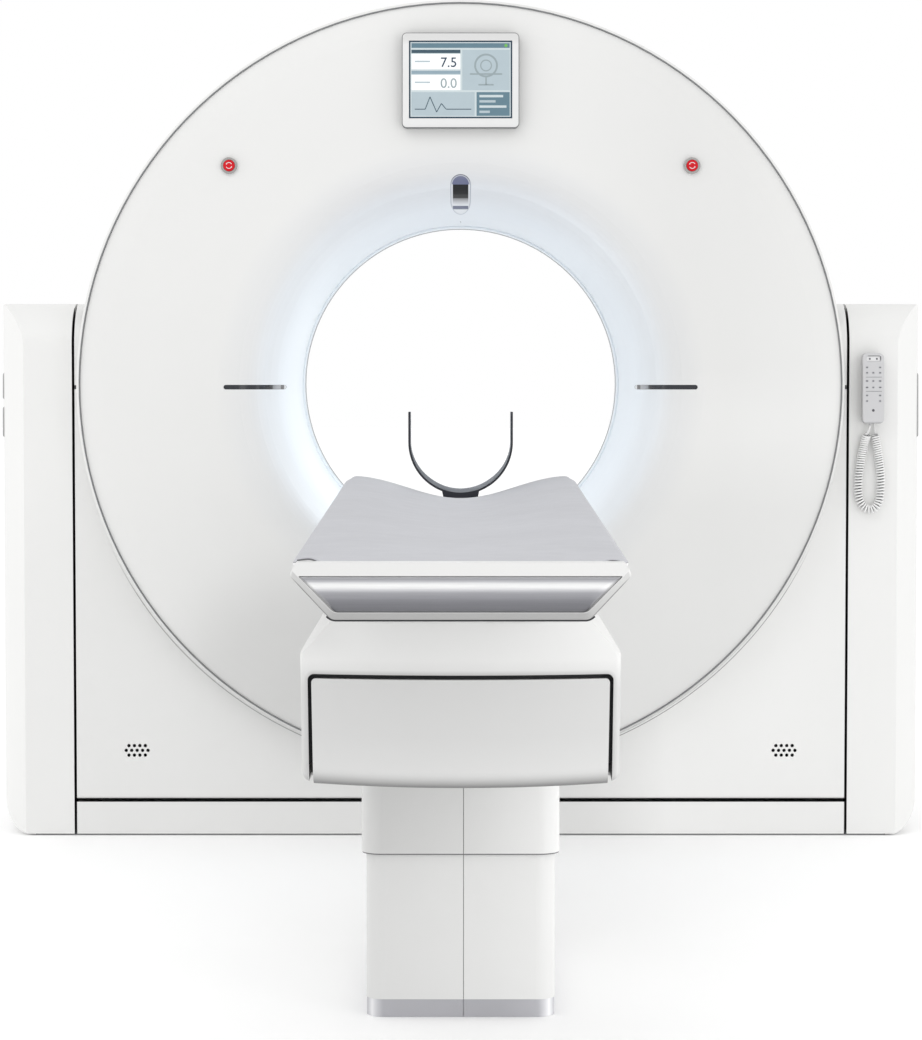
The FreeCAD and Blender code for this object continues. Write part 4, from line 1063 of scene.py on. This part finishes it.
def pillow(points, spine_z, spine_x, y_edge, y_top, rings, back=None):
    """A shallow convex panel: rings from the outline in to a spine."""
    bm = bmesh.new()
    loops = []
    for j in range(rings + 1):
        k = 1 - j / rings
        y = y_top + (y_edge - y_top) * k ** 2.6
        loop = []
        for x, z in points:
            sx = max(-spine_x, min(spine_x, x))
            loop.append(bm.verts.new(at(sx + (x - sx) * k, y, spine_z + (z - spine_z) * k)))
        loops.append(loop)
    n = len(points)
    for a, b in zip(loops, loops[1:]):
        for i in range(n):
            bm.faces.new((a[i], a[(i + 1) % n], b[(i + 1) % n], b[i]))
    if back is not None:
        rear = [bm.verts.new(at(x, back, z)) for x, z in points]
        for i in range(n):
            bm.faces.new((loops[0][(i + 1) % n], loops[0][i], rear[i], rear[(i + 1) % n]))
        bm.faces.new(rear[::-1])
    bmesh.ops.remove_doubles(bm, verts=bm.verts, dist=1e-6)
    bmesh.ops.recalc_face_normals(bm, faces=bm.faces)
    return bm


edge = spread(outline([(-213.9, 712.6), (-166.4, 664.8), (166.4, 664.8), (213.9, 712.6)], [1, 13.9, 13.9, 1]), 6)
silver_panel = mesh_object("foot_panel_silver", pillow(edge, 690, 170, -2830.5, -2833.4, 12, -2812), [M["foot_silver"]], "tabletop")
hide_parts("foot_panel")


# ---- screen ---------------------------------------------------------------------------------
def flat_colour(name, colour, glow=0.0):
    m, t, b = nt(name)
    v = coords(t)
    t.links.new(ramp(t, noise(t, v, 35, 2), [(0.3, dull(colour, 0.985)), (0.7, dull(colour, 1.015))]), b.inputs["Base Color"])
    b.inputs["Roughness"].default_value = 0.3
    b.inputs["Specular IOR Level"].default_value = 0.2
    if glow:
        b.inputs["Emission Color"].default_value = (*colour, 1)
        b.inputs["Emission Strength"].default_value = glow
    return m


UI = [
    flat_colour("ui_pale", (0.55, 0.62, 0.64), 0.06),
    flat_colour("ui_slate", (0.055, 0.095, 0.125), 0.01),
    flat_colour("ui_steel", (0.27, 0.36, 0.42), 0.05),
    flat_colour("ui_white", (0.86, 0.88, 0.88), 0.1),
    flat_colour("ui_green", (0.16, 0.44, 0.10), 0.05),
    flat_colour("ui_line", (0.30, 0.36, 0.38), 0.02),
    flat_colour("ui_dark", (0.025, 0.05, 0.09), 0.0),
    flat_colour("ui_shade", (0.42, 0.50, 0.54), 0.05),
    flat_colour("ui_bar", (0.125, 0.21, 0.26), 0.03),
]
PALE, SLATE, STEEL, PAPER, GREEN, LINE, DARK, SHADE, BAR = range(9)
SX0, SX1, SZ0, SZ1 = -108.4, 108.4, 1524.3, 1687.3
bm = bmesh.new()


def layer_y(layer):
    return -455.26 - 0.06 * layer


def plate(x0, x1, z0, z1, layer, mat):
    """A thin coloured field, x from the screen's left edge and z from its top, in mm."""
    y = layer_y(layer)
    c = [at(SX0 + x0, y, SZ1 - z0), at(SX0 + x1, y, SZ1 - z0), at(SX0 + x1, y, SZ1 - z1), at(SX0 + x0, y, SZ1 - z1)]
    f = bm.faces.new([bm.verts.new(p) for p in c[::-1]])
    f.material_index = mat


def disc(x, z, r0, r1, layer, mat, a0=0.0, a1=2 * math.pi, n=40):
    """A ring, or a disc where r0 is 0, or an arc of either."""
    y = layer_y(layer)
    prev = None
    for k in range(n + 1):
        a = a0 + (a1 - a0) * k / n
        pair = [bm.verts.new(at(SX0 + x + r * math.cos(a), y, SZ1 - z + r * math.sin(a))) for r in (r0, r1)]
        if prev:
            f = bm.faces.new((prev[1], pair[1], pair[0], prev[0]) if r0 > 0 else (prev[1], pair[1], pair[0]))
            f.material_index = mat
        prev = pair


def stroke(pts_, width, layer, mat):
    for (ax, az), (bx, bz) in zip(pts_, pts_[1:]):
        L = math.hypot(bx - ax, bz - az)
        nx_, nz_ = -(bz - az) / L * width / 2, (bx - ax) / L * width / 2
        y = layer_y(layer)
        c = [(ax + nx_, az + nz_), (bx + nx_, bz + nz_), (bx - nx_, bz - nz_), (ax - nx_, az - nz_)]
        f = bm.faces.new([bm.verts.new(at(SX0 + x, y, SZ1 - z)) for x, z in c])
        f.material_index = mat


def digits(text, x, z, size, layer, mat):
    cu = bpy.data.curves.new("digits", "FONT")
    cu.body = text
    cu.size = size / 1000
    cu.align_x = "RIGHT"
    cu.offset = 0.0001
    o = bpy.data.objects.new("digits", cu)
    scene.collection.objects.link(o)
    bpy.context.view_layer.update()
    me_ = bpy.data.meshes.new_from_object(o)
    me_.transform(Matrix.Translation(at(SX0 + x, layer_y(layer), SZ1 - z)) @ Matrix.Rotation(math.radians(90), 4, "X"))
    for p in me_.polygons:
        p.material_index = mat
    before = len(bm.faces)
    bm.from_mesh(me_)
    bm.faces.ensure_lookup_table()
    for f in bm.faces[before:]:
        f.material_index = mat
    bpy.data.objects.remove(o)


W, H = SX1 - SX0, SZ1 - SZ0
plate(3, W - 3, 3, H - 3, 0, PALE)
plate(5, W - 5, 5, 15, 1, BAR)
disc(W - 13, 10, 0, 3.4, 3, GREEN)
# two plain readings, one over the other
for k, (value, tone, head) in enumerate((("7.5", DARK, SLATE), ("0.0", LINE, STEEL))):
    z = 19 + 44 * k
    plate(5, 108, z, z + 7, 1, head)
    plate(5, 108, z + 9, z + 41, 1, PAPER)
    plate(12, 44, z + 23, z + 26, 2, SHADE)
    digits(value, 101, z + 36, 29, 2, tone)
# the scanner's ring over its table, as a plain line drawing
plate(112, W - 5, 19, 104, 1, SHADE)
disc(162, 52, 21, 25, 2, LINE)
disc(162, 52, 10, 12.5, 2, LINE)
stroke([(128, 70), (196, 70)], 3.2, 3, LINE)
stroke([(162, 77), (162, 92)], 3.2, 3, LINE)
stroke([(146, 92.5), (178, 92.5)], 3.2, 3, LINE)
# a plain curve, and plain bars
plate(5, 138, 108, H - 5, 1, SHADE)
stroke([(12, 144), (34, 144), (44, 118), (58, 150), (68, 132), (78, 144), (131, 144)], 1.8, 2, SLATE)
plate(142, W - 5, 108, H - 5, 1, BAR)
for k in range(4):
    plate(148, 148 + (50, 34, 57, 22)[k], 114 + 11 * k, 119 + 11 * k, 2, SHADE if k % 2 else PALE)
bmesh.ops.triangulate(bm, faces=[f for f in bm.faces if len(f.verts) > 4])
ui = mesh_object("screen_picture", bm, UI, "gantry", smooth=False)


# ---- handset keys ---------------------------------------------------------------------------
def dome(bm_, x, y, z, r, h, mat=0, n=20):
    """A low round key standing off a face that looks along -Y."""
    rings_ = []
    for k, (rr, hh) in enumerate(((1.0, 0.0), (0.97, 0.55), (0.8, 0.9), (0.4, 1.0))):
        rings_.append([bm_.verts.new(at(x + r * rr * math.cos(2 * math.pi * i / n), y - h * hh, z + r * rr * math.sin(2 * math.pi * i / n))) for i in range(n)])
    for a, b in zip(rings_, rings_[1:]):
        for i in range(n):
            f = bm_.faces.new((a[i], a[(i + 1) % n], b[(i + 1) % n], b[i]))
            f.material_index = mat
    f = bm_.faces.new(rings_[-1])
    f.material_index = mat


def block(bm_, x0, x1, y0, y1, z0, z1, mat=0, r=0.0):
    pts_ = outline([(x0, z0), (x1, z0), (x1, z1), (x0, z1)], [max(r, 0.01)] * 4, 5)
    front = [bm_.verts.new(at(x, y0, z)) for x, z in pts_]
    rear = [bm_.verts.new(at(x, y1, z)) for x, z in pts_]
    n = len(pts_)
    for i in range(n):
        f = bm_.faces.new((front[i], front[(i + 1) % n], rear[(i + 1) % n], rear[i]))
        f.material_index = mat
    for f in (bm_.faces.new(front[::-1]), bm_.faces.new(rear)):
        f.material_index = mat


M["key_grey"] = moulded("key_grey", (0.15, 0.16, 0.17), rough=(0.45, 0.5), grain=0.1)
M["key_dark"] = moulded("key_dark", (0.09, 0.09, 0.10), rough=(0.45, 0.5), grain=0.1)
M["key_light"] = moulded("key_light", (0.78, 0.78, 0.785), rough=(0.45, 0.5), grain=0.1)
M["key_pale"] = moulded("key_pale", (0.50, 0.50, 0.515), rough=(0.45, 0.5), grain=0.1)
bm = bmesh.new()
for z, xs in ((1000.3, (864.2, 892.0)), (988.8, (864.2, 877.5, 892.0)), (971.4, (864.2, 877.5, 892.0)), (957.8, (864.2, 877.5, 892.0)), (940.8, (864.2, 892.0)), (928.9, (864.2, 892.0))):
    for x in xs:
        dome(bm, x, -390, z, 3.1, 0.5, 2)
        block(bm, x - 2.0, x + 2.0, -390.62, -390.4, z - 1.25, z + 1.25, 0, 0.9)
for x, z in ((864.2, 971.4), (892.0, 971.4), (864.2, 957.8), (892.0, 957.8)):
    block(bm, x - 2.9, x + 2.9, -390.66, -390.5, z - 0.5, z + 0.5, 1, 0.4)
dome(bm, 877.5, -390, 908.9, 2.9, 0.6, 1)
for z in (979.6, 949.4):
    block(bm, 861.8, 895.4, -390.15, -389.8, z - 0.45, z + 0.45, 0)
# the earpiece recess: a pale plate, with dark strips along its top and right painted as the shade inside the recess
block(bm, 863.6, 893.2, -386.75, -386.4, 1013.4, 1024.6, 3, 4)
block(bm, 864.6, 893.8, -386.95, -386.5, 1024.0, 1025.2, 1, 0.4)
block(bm, 892.6, 893.8, -386.95, -386.5, 1015.5, 1025.2, 1, 0.4)
for x in (870.5, 885.5):
    dome(bm, x, -386.7, 1018.5, 2.1, 0.3, 1, 12)
bmesh.ops.recalc_face_normals(bm, faces=bm.faces)
keys = mesh_object("handset_keys", bm, [M["key_grey"], M["key_dark"], M["key_pale"], M["key_light"]], "base", smooth=False)


# ---- dark strips and sheets painted as shade, marks and other small pieces ------------------------
def strip(points, depth, y0, y1, inner=0.8):
    """A lip along an open run of (x, z) points, standing out by depth to the left of their run."""
    bm_ = bmesh.new()
    rows = []
    for i, p in enumerate(points):
        a, b = Vector(points[max(0, i - 1)]), Vector(points[min(len(points) - 1, i + 1)])
        d = (b - a).normalized()
        n = Vector((-d.y, d.x))
        out, into = Vector(p) + n * depth, Vector(p) - n * inner
        rows.append([bm_.verts.new(at(q.x, y, q.y)) for q, y in ((into, y0), (out, y0), (out, y1), (into, y1))])
    for a, b in zip(rows, rows[1:]):
        for i in range(4):
            bm_.faces.new((a[i], a[(i + 1) % 4], b[(i + 1) % 4], b[i]))
    for r_ in (rows[0], rows[-1]):
        bm_.faces.new(r_)
    bmesh.ops.recalc_face_normals(bm_, faces=bm_.faces)
    return bm_


# painted shade: a black strip under the fascia's lower rim, standing in for the shadow line there
foot = outline([(-217.0, 730.3), (-226.0, 713.3), (-171.0, 654.8), (171.0, 654.8), (226.0, 713.3), (217.0, 730.3)], [3, 8, 16, 16, 8, 3], 10)
foot = spread([p for p in foot if p[1] < 713.5], 20)[:-1]
foot = [p for p in foot if p[1] < 672]
cut = max(range(len(foot)), key=lambda i: math.hypot(foot[i][0] - foot[i - 1][0], foot[i][1] - foot[i - 1][1]))
foot = foot[cut:] + foot[:cut]
mesh_object("foot_shadow_strip", strip(foot, -2.6, -2824, -2806), [M["flat_black"]], "tabletop", smooth=False)

# painted shade: a dark grey strip under each upper sleeve's lower edge, standing in for the shadow line there
bm = bmesh.new()
loops = []
for hw, y0_, y1_, r_ in ((145.2, -2200.7, -1579.3, 30.5), (150.6, -2206.2, -1573.8, 32)):
    ring_ = outline([(-hw, y0_), (hw, y0_), (hw, y1_), (-hw, y1_)], [r_] * 4, 10)
    for z in (248.2, 252.0):
        loops.append([bm.verts.new(at(x, y, z)) for x, y in ring_])
for a, b in ((0, 1), (1, 3), (3, 2), (2, 0)):
    n = len(loops[a])
    for i in range(n):
        bm.faces.new((loops[a][i], loops[a][(i + 1) % n], loops[b][(i + 1) % n], loops[b][i]))
bmesh.ops.recalc_face_normals(bm, faces=bm.faces)
mesh_object("sleeve_shadow_strip", bm, [M["shadow_strip_grey"]], "couch_lift_part", smooth=False)

bm = bmesh.new()
for s_ in (-1, 1):
    block(bm, min(s_ * 821.9, s_ * 826.3), max(s_ * 821.9, s_ * 826.3), -349.6, -337.9, 953.8, 962.7)
bmesh.ops.recalc_face_normals(bm, faces=bm.faces)
mesh_object("notch_plugs", bm, [M["flat_black"]], "gantry", smooth=False)

# painted shade: a black sheet behind the gap round the couch's front panel, standing in for the dark of the gap
bm = bmesh.new()
prev = None
for k in range(41):
    x = -213 + 426 * k / 40
    y = -2657 + 900 - math.sqrt(884.5 ** 2 - x * x)
    low = 440 if abs(x) > 196 else 540
    pair = [bm.verts.new(at(x, y, z)) for z in (low, 571)] + [bm.verts.new(at(x, y + 1.2, z)) for z in (571, low)]
    if prev:
        for i in range(4):
            bm.faces.new((prev[i], prev[(i + 1) % 4], pair[(i + 1) % 4], pair[i]))
    else:
        bm.faces.new(pair)
    prev = pair
bm.faces.new(prev)
bmesh.ops.recalc_face_normals(bm, faces=bm.faces)
mesh_object("panel_gap_shade", bm, [M["flat_black"]], "couch_lift_part", smooth=False)

# two microphone holes high in the bore's funnel, drawn as flat black discs: painted shade for the holes
bm = bmesh.new()
for y, rad, slope, r_ in ((-125, 358.9, 0.145, 1.3), (-187, 367.6, 0.16, 1.0)):
    rings_ = []
    for k in range(12):
        a = 2 * math.pi * k / 12
        xx, yy = r_ * math.cos(a), y + 3.2 * math.sin(a)
        rr = rad + (y - yy) * slope - 0.25
        rings_.append(bm.verts.new(at(xx, yy, 965 + math.sqrt(rr * rr - xx * xx))))
    bm.faces.new(rings_)
mesh_object("bore_microphone", bm, [M["flat_black"]], "gantry", smooth=False)

M["mark_white"] = moulded("mark_white", (0.80, 0.72, 0.72), rough=(0.4, 0.5), grain=0.1)
for s_, side_ in ((-1, "left"), (1, "right")):
    bm = bmesh.new()
    for k in range(2):  # two plain turning arrows, for the twist that frees the button
        a0 = math.pi * k + 0.5
        prev = None
        for i in range(13):
            a = a0 + 2.0 * i / 12
            pair = [bm.verts.new(at(s_ * 489 + r_ * math.cos(a), -437.08, 1426.3 + r_ * math.sin(a))) for r_ in (5.6, 7.0)]
            if prev:
                bm.faces.new((prev[1], pair[1], pair[0], prev[0]))
            prev = pair
        a = a0 + 2.0
        tip = [(4.6, a), (8.0, a), (6.3, a + 0.42)]
        bm.faces.new([bm.verts.new(at(s_ * 489 + r_ * math.cos(q), -437.08, 1426.3 + r_ * math.sin(q))) for r_, q in tip])
    bmesh.ops.recalc_face_normals(bm, faces=bm.faces)
    mesh_object("estop_arrows_" + side_, bm, [M["mark_white"]], "estop_" + side_, smooth=False)


# ---- stage, light -------------------------------------------------------------------------------
m, t, b = nt("floor_pale")
v = coords(t)
t.links.new(ramp(t, noise(t, v, 0.8, 2), [(0.3, (0.90, 0.90, 0.90)), (0.7, (0.92, 0.92, 0.92))]), b.inputs["Base Color"])
b.inputs["Roughness"].default_value = 0.6
b.inputs["Specular IOR Level"].default_value = 0.2
b.inputs["Emission Color"].default_value = (1, 1, 1, 1)
b.inputs["Emission Strength"].default_value = 0.13
bm = bmesh.new()
bm.faces.new([bm.verts.new(p) for p in ((-60, -60, -0.0005), (60, -60, -0.0005), (60, 60, -0.0005), (-60, 60, -0.0005))])
floor = mesh_object("floor", bm, [m])

world = bpy.data.worlds.new("world")
scene.world = world
world.use_nodes = True
bg = world.node_tree.nodes["Background"]
bg.inputs[0].default_value = (1, 1, 1, 1)
bg.inputs[1].default_value = 1.0


def area(name, loc, target, size, power, colour=(1, 1, 1)):
    d = bpy.data.lights.new(name, "AREA")
    d.shape = "RECTANGLE"
    d.size, d.size_y = size
    d.energy = power
    d.color = colour
    o = bpy.data.objects.new(name, d)
    scene.collection.objects.link(o)
    o.location = loc
    o.rotation_euler = (Vector(target) - Vector(loc)).to_track_quat("-Z", "Y").to_euler()
    o.visible_camera = False
    return o


area("key", (2.6, -4.0, 1.3), (0, -0.4, 0.5), (1.6, 1.6), 13)
area("low", (1.5, -2.3, 0.45), (0.2, -0.6, 0.3), (0.5, 0.8), 2.6)
area("top", (-1.6, -2.0, 3.8), (0, 1, 1.2), (3.0, 2.0), 16)
area("left", (-4.5, 0.2, 1.4), (-0.9, 1.0, 0.8), (1.0, 2.4), 12)
area("right", (4.5, 0.2, 1.4), (0.9, 1.0, 0.8), (1.0, 2.4), 12)
d = bpy.data.lights.new("bore_glow", "POINT")
d.energy = 1.5
d.shadow_soft_size = 0.12
d.color = (0.90, 0.955, 1.0)
o = bpy.data.objects.new("bore_glow", d)
scene.collection.objects.link(o)
o.location = at(-70, -235, 810)
o.visible_camera = False
scene.view_settings.view_transform = "Standard"
scene.view_settings.look = "None"
